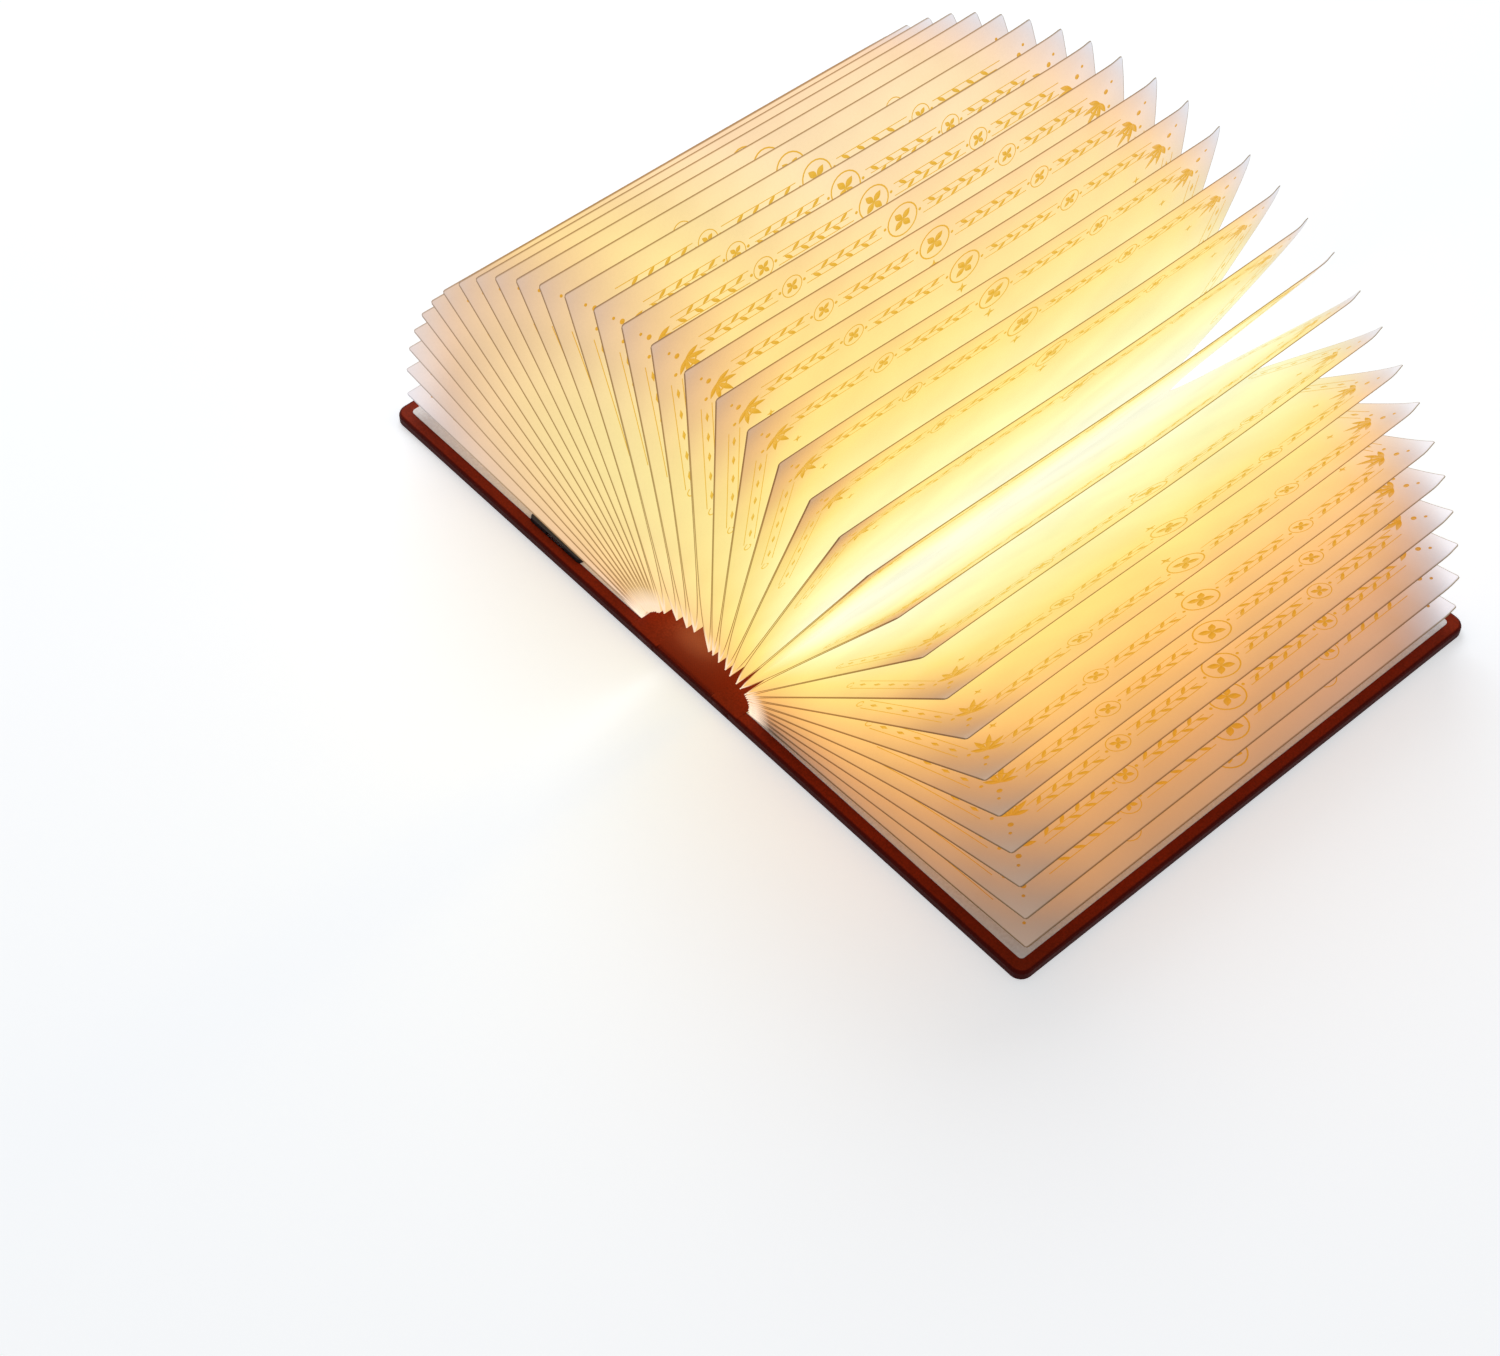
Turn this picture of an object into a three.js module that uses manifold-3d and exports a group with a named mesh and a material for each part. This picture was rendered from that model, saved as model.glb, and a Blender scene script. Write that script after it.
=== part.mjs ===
// Folding book lamp, built open and lying flat: a hard case in three parts, a light bar on the
// spine, and a fan of folded paper leaves whose inner folds stand in an arch over the light bar.
// Millimetres. +X runs from the front cover to the back cover, +Y from tail to head, +Z up.
// The origin is the middle of the underside.
import * as THREE from 'three';
import { mergeVertices } from 'three/addons/utils/BufferGeometryUtils.js';
import Module from 'manifold-3d';

const wasm = await Module();
wasm.setup();

// Case: overall sizes
const OPEN_WIDTH = 324;
const COVER_HEIGHT = 215;
const CLOSED_THICKNESS = 40;
const COVER_SETBACK = 3.25;
const SPINE_CLEARANCE = 0.4;
const CORNER_RADIUS = 4.5;

// Case: what the covers and the spine are made of
const SKIN = 0.5;
const COVER_BOARD = 3.2;
const SPINE_BOARD = 3.2;
const LINING = 0.3;
const ENDPAPER = 0.3;
const COVER_TURN_IN = 15;
const SPINE_TURN_IN = 12;
const SKIN_EDGE_ROUND = 1.1;
const SKIN_FOOT_ROUND = 0.3;
const RIM = 4.6;
const ENDPAPER_CORNER_RADIUS = 1.5;
const ENDPAPER_HINGE_MARGIN = 4.25;
const HINGE_SLIT = 0.2;

// Clearance beside a piece that is dropped into a pocket, and the overrun of every cut
const FIT = 0.3;
const OVERRUN = 1;

// Fan of leaves
const LEAF_COUNT = 33;
const LEAF_MARGIN = 4.5;
const PAPER = 0.2;
const FORE_MARGIN = 3.5;
const FOLD_SETBACK = 9;
const LEAF_LIFT = 0.3;
const LEAF_CORNER_RADIUS = 5;
const FOLD_ROUND = 0.3;
const FOLD_NOSE = 0.08;
const PRESSED_CLEARANCE = 0.06;
const CREASE_DROP = 0.5;
const CREASE_LENGTH = 0.36;
const HUB_RISE = 4.1;
const ROW_CLEARANCE = 0.8;
const FAN_HALF_ANGLE = THREE.MathUtils.degToRad(86.7);

// Light bar
const BAR_WIDTH = 22;
const BAR_END_MARGIN = 21.5;
const TRAY_WALL = 1;
const TRAY_FLOOR = 0.8;
const TRAY_LEDGE = 1;
const END_CAP = 2;
const END_CAP_TONGUE = 3;
const LENS = 0.6;
const LENS_GAP = 0.3;
const LAMP_BOARD = 0.6;
const CHIP_COUNT = 18;
const CHIP_WIDTH = 2.8;
const CHIP_LENGTH = 3.5;
const CHIP_HEIGHT = 0.5;
const CELL_WIDTH = 16;
const CELL_LENGTH = 70;
const CELL_THICKNESS = 2.6;
const CELL_ROUND = 0.8;

// Power pack in the front cover
const PACK_LENGTH = 28;
const PACK_DEPTH = 22;
const PACK_FORE_DISTANCE = 88;
const PACK_TAIL_MARGIN = 4.3;
const PACK_SEAT = 0.3;
const PACK_FLOOR = 0.5;
const PACK_WALL = 1.2;
const PACK_LID = 0.6;
const PACK_CORNER_RADIUS = 1.5;
const PACK_LID_ROUND = 0.15;
const CHARGE_BOARD = 0.8;
const PORT_WIDTH = 8.94;
const PORT_HEIGHT = 3.26;
const PORT_DEPTH = 7.3;
const PORT_SHELL = 0.3;
const PORT_TONGUE_WIDTH = 6.7;
const PORT_TONGUE = 0.7;
const PORT_TONGUE_LENGTH = 4.5;
const PORT_HEADROOM = 0.14;
const NOTCH_WIDTH = 11;
const NOTCH_FLOOR = 1.6;
const PORT_COVER_GAP = 0.1;
const SENSOR = 3;
const SENSOR_HEIGHT = 1;
const SENSOR_BACK_MARGIN = 2;

// Leads and magnets
const LEAD_WIDTH = 2.4;
const LEAD_THICKNESS = 0.5;
const LEAD_ROUND = 0.1;
const LEAD_PACK_MARGIN = 2.8;
const MAGNET_RADIUS = 5;
const MAGNET_THICKNESS = 2;
const MAGNET_MARGIN = 2;
const SWITCH_MAGNET_MARGIN = 1.6;

// Facets of the round shapes
const CORNER_STEPS = 6;
const EDGE_STEPS = 2;
const DISC_STEPS = 32;
const ARCH_STEPS_PER_LEAF = 40;

// Heights through the case, worked out from the layers
const hingeX = CLOSED_THICKNESS / 2;
const coverInnerX = hingeX + COVER_SETBACK;
const coverOuterX = OPEN_WIDTH / 2;
const halfHeight = COVER_HEIGHT / 2;
const coverRebateZ = SKIN + COVER_BOARD;
const coverTopZ = coverRebateZ + SKIN;
const pageFaceZ = coverTopZ + ENDPAPER;
const spineRebateZ = SKIN + SPINE_BOARD;
const spineTopZ = spineRebateZ + SKIN;
const liningTopZ = spineTopZ + LINING;

// The inner faces of the closed covers stand beside the spine, which is narrower by a clearance
const spineHalf = hingeX - coverTopZ - SPINE_CLEARANCE;

// Heights through the light bar
const trayFloorZ = liningTopZ + TRAY_FLOOR;
const lampBoardZ = trayFloorZ + CELL_THICKNESS;
const chipZ = lampBoardZ + LAMP_BOARD;
const chipTopZ = chipZ + CHIP_HEIGHT;
const lensUnderZ = chipTopZ + LENS_GAP;
const barTopZ = lensUnderZ + LENS;

// Heights and places of the power pack
const packX = -(PACK_FORE_DISTANCE - PACK_LENGTH / 2);
const packTailY = -halfHeight + PACK_TAIL_MARGIN;
const packY = packTailY + PACK_DEPTH / 2;
const packBottomZ = SKIN + PACK_SEAT;
const chargeBoardZ = packBottomZ + PACK_FLOOR;
const portZ = chargeBoardZ + CHARGE_BOARD;
const packRimZ = portZ + PORT_HEIGHT + PORT_HEADROOM;
const packTopZ = packRimZ + PACK_LID;

// Lengths that follow the height of the covers
const leafHeight = COVER_HEIGHT - 2 * LEAF_MARGIN;
const barLength = COVER_HEIGHT - 2 * BAR_END_MARGIN;
const magnetX = coverOuterX - COVER_TURN_IN - MAGNET_MARGIN - MAGNET_RADIUS;

// The leaves: pressed side by side in the closed book, spread along the arch in the open one
const pressedPitch = (CLOSED_THICKNESS - packTopZ - pageFaceZ - 2 * LEAF_LIFT) / LEAF_COUNT;
const mouth = pressedPitch - PRESSED_CLEARANCE;
const hubHalfWidth = hingeX + FOLD_SETBACK;
const leafWidth = coverOuterX - hubHalfWidth - FORE_MARGIN;
const hubFootZ = pageFaceZ + LEAF_LIFT + mouth / 2;
const hubTopZ = barTopZ + CREASE_DROP + PAPER + ROW_CLEARANCE + HUB_RISE;

// Finishes
function finish(color, roughness, metalness = 0, extra = {}) {
  return new THREE.MeshStandardMaterial({ color, roughness, metalness, ...extra });
}

const leatherette = finish('#8c4a4c', 0.62);
const greyBoard = finish('#8f8a82', 0.9);
const liningCloth = finish('#7d3222', 0.7);
const endpaperStock = finish('#e9e6e1', 0.85);
const leafPaper = finish('#ffe3b0', 0.8, 0, { emissive: '#ffc766', emissiveIntensity: 0.35 });
const whitePlastic = finish('#e8e8e4', 0.45);
const opalPlastic = finish('#fff4d6', 0.5, 0, { emissive: '#fff0b0', emissiveIntensity: 0.8 });
const blackPlastic = finish('#1b1a1c', 0.5);
const circuitBoard = finish('#22563a', 0.5);
const whiteBoard = finish('#eceae0', 0.5);
const cellFoil = finish('#b9bcc0', 0.35, 0.8);
const steel = finish('#c9cbcd', 0.3, 1);
const nickel = finish('#b8b9bb', 0.25, 1);
const chipBlack = finish('#151517', 0.5);
const leadSleeve = finish('#2a2a2c', 0.6);
const portRubber = finish('#5e2014', 0.6);

const lamp = new THREE.Group();

function addPiece(name, geometry, material) {
  const mesh = new THREE.Mesh(geometry, material);
  mesh.name = name;
  lamp.add(mesh);
  return mesh;
}

// Turns a closed geometry into a solid that can be cut and joined
function solidOf(geometry) {
  const bare = geometry.clone();
  bare.deleteAttribute('normal');
  bare.deleteAttribute('uv');
  const merged = mergeVertices(bare);
  return new wasm.Manifold(new wasm.Mesh({
    numProp: 3,
    vertProperties: Float32Array.from(merged.attributes.position.array),
    triVerts: Uint32Array.from(merged.index.array),
  }));
}

function geometryOf(solid) {
  const mesh = solid.getMesh();
  const geometry = new THREE.BufferGeometry();
  geometry.setAttribute('position', new THREE.BufferAttribute(mesh.vertProperties, mesh.numProp));
  geometry.setIndex(new THREE.BufferAttribute(mesh.triVerts, 1));
  geometry.computeVertexNormals();
  return geometry;
}

// Rectangle in plan whose corners on the +X side are rounded; side -1 mirrors it to the left.
// backRadius rounds the corners on the other side too.
function panelOutline(side, nearX, farX, halfDepth, radius, backRadius = 0) {
  const points = [];
  const corner = (x, y, r, startShare) => {
    for (let step = 0; step <= CORNER_STEPS; step += 1) {
      const angle = (startShare + step / CORNER_STEPS) * (Math.PI / 2);
      points.push(new THREE.Vector2(side * (x + r * Math.cos(angle)), y + r * Math.sin(angle)));
      if (r === 0) break;
    }
  };
  corner(farX - radius, halfDepth - radius, radius, 0);
  corner(nearX + backRadius, halfDepth - backRadius, backRadius, 1);
  corner(nearX + backRadius, -halfDepth + backRadius, backRadius, 2);
  corner(farX - radius, -halfDepth + radius, radius, 3);
  return new THREE.Shape(points);
}

function boxOutline(centreX, centreY, width, depth, radius = 0) {
  const outline = panelOutline(1, -width / 2, width / 2, depth / 2, radius, radius);
  return new THREE.Shape(outline.getPoints().map((point) => point.add(new THREE.Vector2(centreX, centreY))));
}

// Flat piece standing on bottomZ, with its edges rounded by edge
function slab(outline, bottomZ, thickness, edge = 0) {
  const geometry = new THREE.ExtrudeGeometry(outline, {
    depth: thickness - 2 * edge,
    bevelEnabled: edge > 0,
    bevelThickness: edge,
    bevelSize: edge,
    bevelOffset: -edge,
    bevelSegments: EDGE_STEPS,
  });
  return geometry.translate(0, 0, bottomZ + edge);
}

// Block of skin: its upper edges have the full round and its lower edges are nearly sharp
function skinBlock(outline, bottomZ, topZ) {
  const height = topZ - bottomZ;
  return solidOf(slab(outline, bottomZ, height, SKIN_EDGE_ROUND))
    .add(solidOf(slab(outline, bottomZ, height - SKIN_EDGE_ROUND, SKIN_FOOT_ROUND)));
}

// Section drawn across the book, x to the right and z up, carried from lowY to highY
function sectionAlongY(points, lowY, highY) {
  const shape = new THREE.Shape(points.map(([x, z]) => new THREE.Vector2(x, z)));
  const geometry = new THREE.ExtrudeGeometry(shape, { depth: highY - lowY, bevelEnabled: false });
  return geometry.rotateX(Math.PI / 2).translate(0, highY, 0);
}

// Mitred tongue of skin that reaches over the gutter to the hinge line at side * hingeX.
// reach is +1 when it comes from the cover and -1 when it comes from the spine.
function gutterSkin(side, reach) {
  const rootX = (reach > 0 ? coverInnerX : spineHalf) + reach * SKIN;
  const lipX = hingeX + reach * (HINGE_SLIT / 2);
  const section = [
    [side * rootX, 0],
    [side * lipX, 0],
    [side * (lipX + reach * SKIN), SKIN],
    [side * rootX, SKIN],
  ];
  return sectionAlongY(section, -halfHeight + SKIN_EDGE_ROUND, halfHeight - SKIN_EDGE_ROUND);
}

// Power pack pocket and plug notch, cut out of everything in the front cover that they meet
function packPocket(bottomZ) {
  const outline = boxOutline(
    packX, packY, PACK_LENGTH + 2 * FIT, PACK_DEPTH + 2 * FIT, PACK_CORNER_RADIUS + FIT);
  return solidOf(slab(outline, bottomZ, packTopZ + OVERRUN - bottomZ));
}

function plugNotch() {
  const lowY = -halfHeight - OVERRUN;
  const outline = boxOutline(packX, (lowY + packTailY) / 2, NOTCH_WIDTH, packTailY - lowY);
  return solidOf(slab(outline, NOTCH_FLOOR, packTopZ - NOTCH_FLOOR));
}

// Cover: a leatherette skin turned in over the board on three sides
function coverSkin(side) {
  const block = panelOutline(side, coverInnerX, coverOuterX, halfHeight, CORNER_RADIUS);
  const cavity = panelOutline(
    side, coverInnerX - OVERRUN, coverOuterX - SKIN, halfHeight - SKIN, CORNER_RADIUS - SKIN);
  const panel = panelOutline(
    side, coverInnerX - OVERRUN, coverOuterX - COVER_TURN_IN, halfHeight - COVER_TURN_IN, 0);
  return skinBlock(block, 0, coverTopZ)
    .subtract(solidOf(slab(cavity, SKIN, COVER_BOARD)))
    .subtract(solidOf(slab(panel, coverRebateZ - OVERRUN, SKIN + 2 * OVERRUN)))
    .add(solidOf(gutterSkin(side, 1)));
}

// The board is rebated all round for the turn-ins, and pocketed for its magnet
function coverBoard(side) {
  const edge = SKIN + FIT;
  const body = panelOutline(
    side, coverInnerX, coverOuterX - edge, halfHeight - edge, CORNER_RADIUS - SKIN);
  const panel = panelOutline(
    side, coverInnerX, coverOuterX - COVER_TURN_IN - FIT, halfHeight - COVER_TURN_IN - FIT, 0);
  return solidOf(slab(body, SKIN, COVER_BOARD))
    .add(solidOf(slab(panel, SKIN, COVER_BOARD + SKIN)))
    .subtract(magnetPocket(side * magnetX, 0));
}

function endpaper(side) {
  const outline = panelOutline(
    side, coverInnerX + ENDPAPER_HINGE_MARGIN, coverOuterX - RIM, halfHeight - RIM,
    ENDPAPER_CORNER_RADIUS);
  return solidOf(slab(outline, coverTopZ, ENDPAPER));
}

// Magnets lie in pockets under the endpapers
function disc(x, y, radius, bottomZ, thickness) {
  const geometry = new THREE.CylinderGeometry(radius, radius, thickness, DISC_STEPS);
  return geometry.rotateX(Math.PI / 2).translate(x, y, bottomZ + thickness / 2);
}

function magnetPocket(x, y) {
  return solidOf(disc(x, y, MAGNET_RADIUS + FIT, coverTopZ - MAGNET_THICKNESS,
    MAGNET_THICKNESS + OVERRUN));
}

function magnet(x, y) {
  return disc(x, y, MAGNET_RADIUS, coverTopZ - MAGNET_THICKNESS, MAGNET_THICKNESS);
}

// The sensor reads the switch magnet, which faces it when the book is closed
const sensorX = packX;
const sensorY = packTailY + PACK_DEPTH - PACK_WALL - SENSOR_BACK_MARGIN - SENSOR / 2;
const switchMagnetY = -halfHeight + COVER_TURN_IN + SWITCH_MAGNET_MARGIN + MAGNET_RADIUS;

addPiece('back_cover_wrap', geometryOf(coverSkin(1)), leatherette);
addPiece('back_cover_board', geometryOf(
  coverBoard(1).subtract(magnetPocket(-sensorX, switchMagnetY))), greyBoard);
addPiece('back_endpaper', geometryOf(endpaper(1)), endpaperStock);
addPiece('back_magnet', magnet(magnetX, 0), nickel);
addPiece('switch_magnet', magnet(-sensorX, switchMagnetY), nickel);

// The pack's lead lies in a groove that runs from the pack to the gutter
const leadY = packTailY + PACK_DEPTH - LEAD_PACK_MARGIN;
const packSpineX = packX + PACK_LENGTH / 2;
const grooveZ = coverTopZ - LEAD_THICKNESS;

function leadGroove() {
  const nearX = -coverInnerX + OVERRUN;
  const outline = boxOutline(
    (nearX + packSpineX) / 2, leadY, nearX - packSpineX, LEAD_WIDTH + 2 * FIT);
  return solidOf(slab(outline, grooveZ, LEAD_THICKNESS + OVERRUN));
}

function flatLead(lowX, highX, bottomZ) {
  const outline = boxOutline((lowX + highX) / 2, leadY, highX - lowX, LEAD_WIDTH);
  return slab(outline, bottomZ, LEAD_THICKNESS, LEAD_ROUND);
}

addPiece('front_cover_wrap', geometryOf(
  coverSkin(-1).subtract(packPocket(packBottomZ)).subtract(plugNotch())), leatherette);
addPiece('front_cover_board', geometryOf(
  coverBoard(-1).subtract(packPocket(packBottomZ)).subtract(plugNotch())
    .subtract(leadGroove())), greyBoard);
addPiece('front_endpaper', geometryOf(
  endpaper(-1).subtract(packPocket(coverTopZ - OVERRUN)).subtract(plugNotch())), endpaperStock);
addPiece('front_magnet', magnet(-magnetX, 0), nickel);

// Power pack: an open case with a lid, the charge board, its port and the lid switch's sensor
function packCase() {
  const outer = boxOutline(packX, packY, PACK_LENGTH, PACK_DEPTH, PACK_CORNER_RADIUS);
  const inner = boxOutline(
    packX, packY, PACK_LENGTH - 2 * PACK_WALL, PACK_DEPTH - 2 * PACK_WALL);
  const mouthOutline = boxOutline(
    packX, packTailY, PORT_WIDTH + 2 * FIT, 2 * (PACK_WALL + OVERRUN));
  return solidOf(slab(outer, packBottomZ, packRimZ - packBottomZ))
    .subtract(solidOf(slab(inner, chargeBoardZ, packRimZ + OVERRUN - chargeBoardZ)))
    .subtract(solidOf(slab(mouthOutline, portZ - FIT, packRimZ + OVERRUN - portZ + FIT)));
}

function chargeBoard() {
  const width = PACK_LENGTH - 2 * (PACK_WALL + FIT);
  const depth = PACK_DEPTH - 2 * (PACK_WALL + FIT);
  return slab(boxOutline(packX, packY, width, depth), chargeBoardZ, CHARGE_BOARD);
}

// Slot with round ends, seen from the tail, carried into the pack from startY on
function portSlot(width, height, startY, depth) {
  const points = [];
  const radius = height / 2;
  for (let step = 0; step <= CORNER_STEPS; step += 1) {
    const angle = -Math.PI / 2 + (step / CORNER_STEPS) * Math.PI;
    points.push([width / 2 - radius + radius * Math.cos(angle), radius * Math.sin(angle)]);
  }
  const mirrored = points.map(([x, z]) => [-x, -z]);
  const section = sectionAlongY([...points, ...mirrored], startY, startY + depth);
  return solidOf(section.translate(packX, 0, portZ + PORT_HEIGHT / 2));
}

function usbPort() {
  const bore = portSlot(PORT_WIDTH - 2 * PORT_SHELL, PORT_HEIGHT - 2 * PORT_SHELL,
    packTailY - OVERRUN, PORT_DEPTH - PORT_SHELL + OVERRUN);
  const tongueOutline = boxOutline(
    packX, packTailY + PORT_DEPTH - PORT_TONGUE_LENGTH / 2, PORT_TONGUE_WIDTH, PORT_TONGUE_LENGTH);
  const tongue = slab(tongueOutline, portZ + (PORT_HEIGHT - PORT_TONGUE) / 2, PORT_TONGUE);
  return portSlot(PORT_WIDTH, PORT_HEIGHT, packTailY, PORT_DEPTH)
    .subtract(bore)
    .add(solidOf(tongue));
}

addPiece('power_case', geometryOf(packCase()), blackPlastic);
addPiece('power_lid', slab(
  boxOutline(packX, packY, PACK_LENGTH, PACK_DEPTH, PACK_CORNER_RADIUS), packRimZ, PACK_LID,
  PACK_LID_ROUND), blackPlastic);
addPiece('charge_board', chargeBoard(), circuitBoard);
addPiece('usb_c_port', geometryOf(usbPort()), steel);
addPiece('hall_sensor', slab(
  boxOutline(sensorX, sensorY, SENSOR, SENSOR), portZ, SENSOR_HEIGHT), chipBlack);

// Rubber cover that fills the plug notch, flush with the rim, until a plug is put in
function portCover() {
  const depth = PACK_TAIL_MARGIN - PORT_COVER_GAP;
  const outline = boxOutline(
    packX, -halfHeight + depth / 2, NOTCH_WIDTH - 2 * PORT_COVER_GAP, depth);
  return geometryOf(skinBlock(outline, NOTCH_FLOOR, coverTopZ));
}

addPiece('port_cover', portCover(), portRubber);
addPiece('power_lead', flatLead(packSpineX + FIT, -coverInnerX, grooveZ), leadSleeve);

// Spine: its skin turns in over the board at head and tail
function spineSkin() {
  const block = boxOutline(0, 0, 2 * spineHalf, COVER_HEIGHT);
  const cavity = boxOutline(0, 0, 2 * (spineHalf + OVERRUN), COVER_HEIGHT - 2 * SKIN);
  const panel = boxOutline(0, 0, 2 * (spineHalf + OVERRUN), COVER_HEIGHT - 2 * SPINE_TURN_IN);
  return skinBlock(block, 0, spineTopZ)
    .subtract(solidOf(slab(cavity, SKIN, SPINE_BOARD)))
    .subtract(solidOf(slab(panel, spineRebateZ - OVERRUN, SKIN + 2 * OVERRUN)))
    .add(solidOf(gutterSkin(1, -1)))
    .add(solidOf(gutterSkin(-1, -1)));
}

function spineBoard() {
  const body = boxOutline(0, 0, 2 * spineHalf, COVER_HEIGHT - 2 * (SKIN + FIT));
  const panel = boxOutline(0, 0, 2 * spineHalf, COVER_HEIGHT - 2 * (SPINE_TURN_IN + FIT));
  return solidOf(slab(body, SKIN, SPINE_BOARD)).add(solidOf(slab(panel, SKIN, SPINE_BOARD + SKIN)));
}

const liningHalf = spineHalf - FIT;

addPiece('spine_wrap', geometryOf(spineSkin()), leatherette);
addPiece('spine_board', geometryOf(spineBoard()), greyBoard);
addPiece('spine_lining', slab(
  boxOutline(0, 0, 2 * liningHalf, COVER_HEIGHT - 2 * RIM), spineTopZ, LINING), liningCloth);

// Light bar: a tray with ledges, the cell under the lamp board, and a snap-on lens
const barHalf = BAR_WIDTH / 2;
const barEndY = barLength / 2;
const trayInner = barHalf - TRAY_WALL;
const cellBay = trayInner - TRAY_LEDGE;

function traySection() {
  return [
    [-barHalf, liningTopZ],
    [barHalf, liningTopZ],
    [barHalf, chipTopZ],
    [trayInner, chipTopZ],
    [trayInner, lampBoardZ],
    [cellBay, lampBoardZ],
    [cellBay, trayFloorZ],
    [-cellBay, trayFloorZ],
    [-cellBay, lampBoardZ],
    [-trayInner, lampBoardZ],
    [-trayInner, chipTopZ],
    [-barHalf, chipTopZ],
  ];
}

// Outline over the top of the bar, from right to left, with its two long edges rounded
function barCrown() {
  const radius = LENS;
  const points = [];
  for (let step = 0; step <= CORNER_STEPS; step += 1) {
    const angle = (step / CORNER_STEPS) * (Math.PI / 2);
    points.push([barHalf - radius + radius * Math.cos(angle), barTopZ - radius + radius * Math.sin(angle)]);
  }
  return [...points, ...points.map(([x, z]) => [-x, z]).reverse()];
}

function lensSection() {
  return [
    [barHalf, chipTopZ],
    ...barCrown(),
    [-barHalf, chipTopZ],
    [-trayInner, chipTopZ],
    [-trayInner, lensUnderZ],
    [trayInner, lensUnderZ],
    [trayInner, chipTopZ],
  ];
}

// Chips stand on the lamp board at an even pitch
function lampBoard() {
  const length = barLength - 2 * (END_CAP_TONGUE - END_CAP + FIT);
  const pitch = length / CHIP_COUNT;
  let board = solidOf(slab(boxOutline(0, 0, 2 * (trayInner - FIT), length), lampBoardZ, LAMP_BOARD));
  for (let index = 0; index < CHIP_COUNT; index += 1) {
    const y = (index - (CHIP_COUNT - 1) / 2) * pitch;
    const chip = slab(boxOutline(0, y, CHIP_WIDTH, CHIP_LENGTH), lampBoardZ, LAMP_BOARD + CHIP_HEIGHT);
    board = board.add(solidOf(chip));
  }
  return board;
}

// Cap with a tongue that plugs the end of the tray; side is +1 at the head
function endCap(side) {
  const capSection = [[-barHalf, liningTopZ], [barHalf, liningTopZ], ...barCrown()];
  const tongueSection = [
    [-cellBay + FIT, trayFloorZ + FIT],
    [cellBay - FIT, trayFloorZ + FIT],
    [cellBay - FIT, lampBoardZ - FIT],
    [-cellBay + FIT, lampBoardZ - FIT],
  ];
  const near = side * barEndY;
  const far = side * (barEndY + END_CAP);
  const root = side * (barEndY - END_CAP_TONGUE);
  return solidOf(sectionAlongY(capSection, Math.min(near, far), Math.max(near, far)))
    .add(solidOf(sectionAlongY(tongueSection, Math.min(root, far), Math.max(root, far))));
}

addPiece('lamp_tray', sectionAlongY(traySection(), -barEndY, barEndY), whitePlastic);
addPiece('lamp_battery', slab(
  boxOutline(0, 0, CELL_WIDTH, CELL_LENGTH), trayFloorZ, CELL_THICKNESS, CELL_ROUND), cellFoil);
addPiece('lamp_board', geometryOf(lampBoard()), whiteBoard);
addPiece('lamp_lens', sectionAlongY(lensSection(), -barEndY, barEndY), opalPlastic);
addPiece('head_end_cap', geometryOf(endCap(1)), whitePlastic);
addPiece('tail_end_cap', geometryOf(endCap(-1)), whitePlastic);
// The lead stops at the edge of the lining, clear of the inner edge of the closed cover
addPiece('lamp_lead', flatLead(-liningHalf, -barHalf - FIT, liningTopZ), leadSleeve);

// Section of one leaf, x across it and z outwards from its inner end: two sheets that meet in
// the outer fold. creaseSide is the side on which the leaf keeps its half of the inner crease.
function leafSection(creaseSide) {
  const side = creaseSide === 0 ? 1 : creaseSide;
  const crease = [
    [side * (mouth / 2), -CREASE_DROP],
    [side * (mouth / 2 + CREASE_LENGTH), -CREASE_DROP],
    [side * (mouth / 2 + CREASE_LENGTH), -CREASE_DROP - PAPER],
    [side * (mouth / 2 - PAPER), -CREASE_DROP - PAPER],
  ];
  return [
    [side * (mouth / 2), 0],
    ...(creaseSide === 0 ? [] : crease),
    [side * (mouth / 2 - PAPER), 0],
    [0, leafWidth - LEAF_CORNER_RADIUS],
    [-side * (mouth / 2 - PAPER), 0],
    [-side * (mouth / 2), 0],
    [-side * PAPER, leafWidth - FOLD_ROUND],
    [-side * FOLD_NOSE, leafWidth],
    [side * FOLD_NOSE, leafWidth],
    [side * PAPER, leafWidth - FOLD_ROUND],
  ];
}

// Outline of the leaf seen flat: its two outer corners are rounded
function leafGeometry(creaseSide) {
  const blank = solidOf(sectionAlongY(leafSection(creaseSide), -leafHeight / 2, leafHeight / 2));
  const outline = panelOutline(
    1, -CREASE_DROP - PAPER - OVERRUN, leafWidth, leafHeight / 2, LEAF_CORNER_RADIUS);
  const stock = slab(outline, -CREASE_LENGTH - mouth, 2 * (CREASE_LENGTH + mouth));
  const standing = new THREE.Matrix4().makeBasis(
    new THREE.Vector3(0, 0, 1), new THREE.Vector3(0, 1, 0), new THREE.Vector3(-1, 0, 0));
  return geometryOf(blank.intersect(solidOf(stock.applyMatrix4(standing))));
}

// Inner folds stand at even steps along half an ellipse that spans the gutters
function hubPoint(angle) {
  return new THREE.Vector2(
    hubHalfWidth * Math.sin(angle), hubFootZ + (hubTopZ - hubFootZ) * Math.cos(angle));
}

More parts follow.
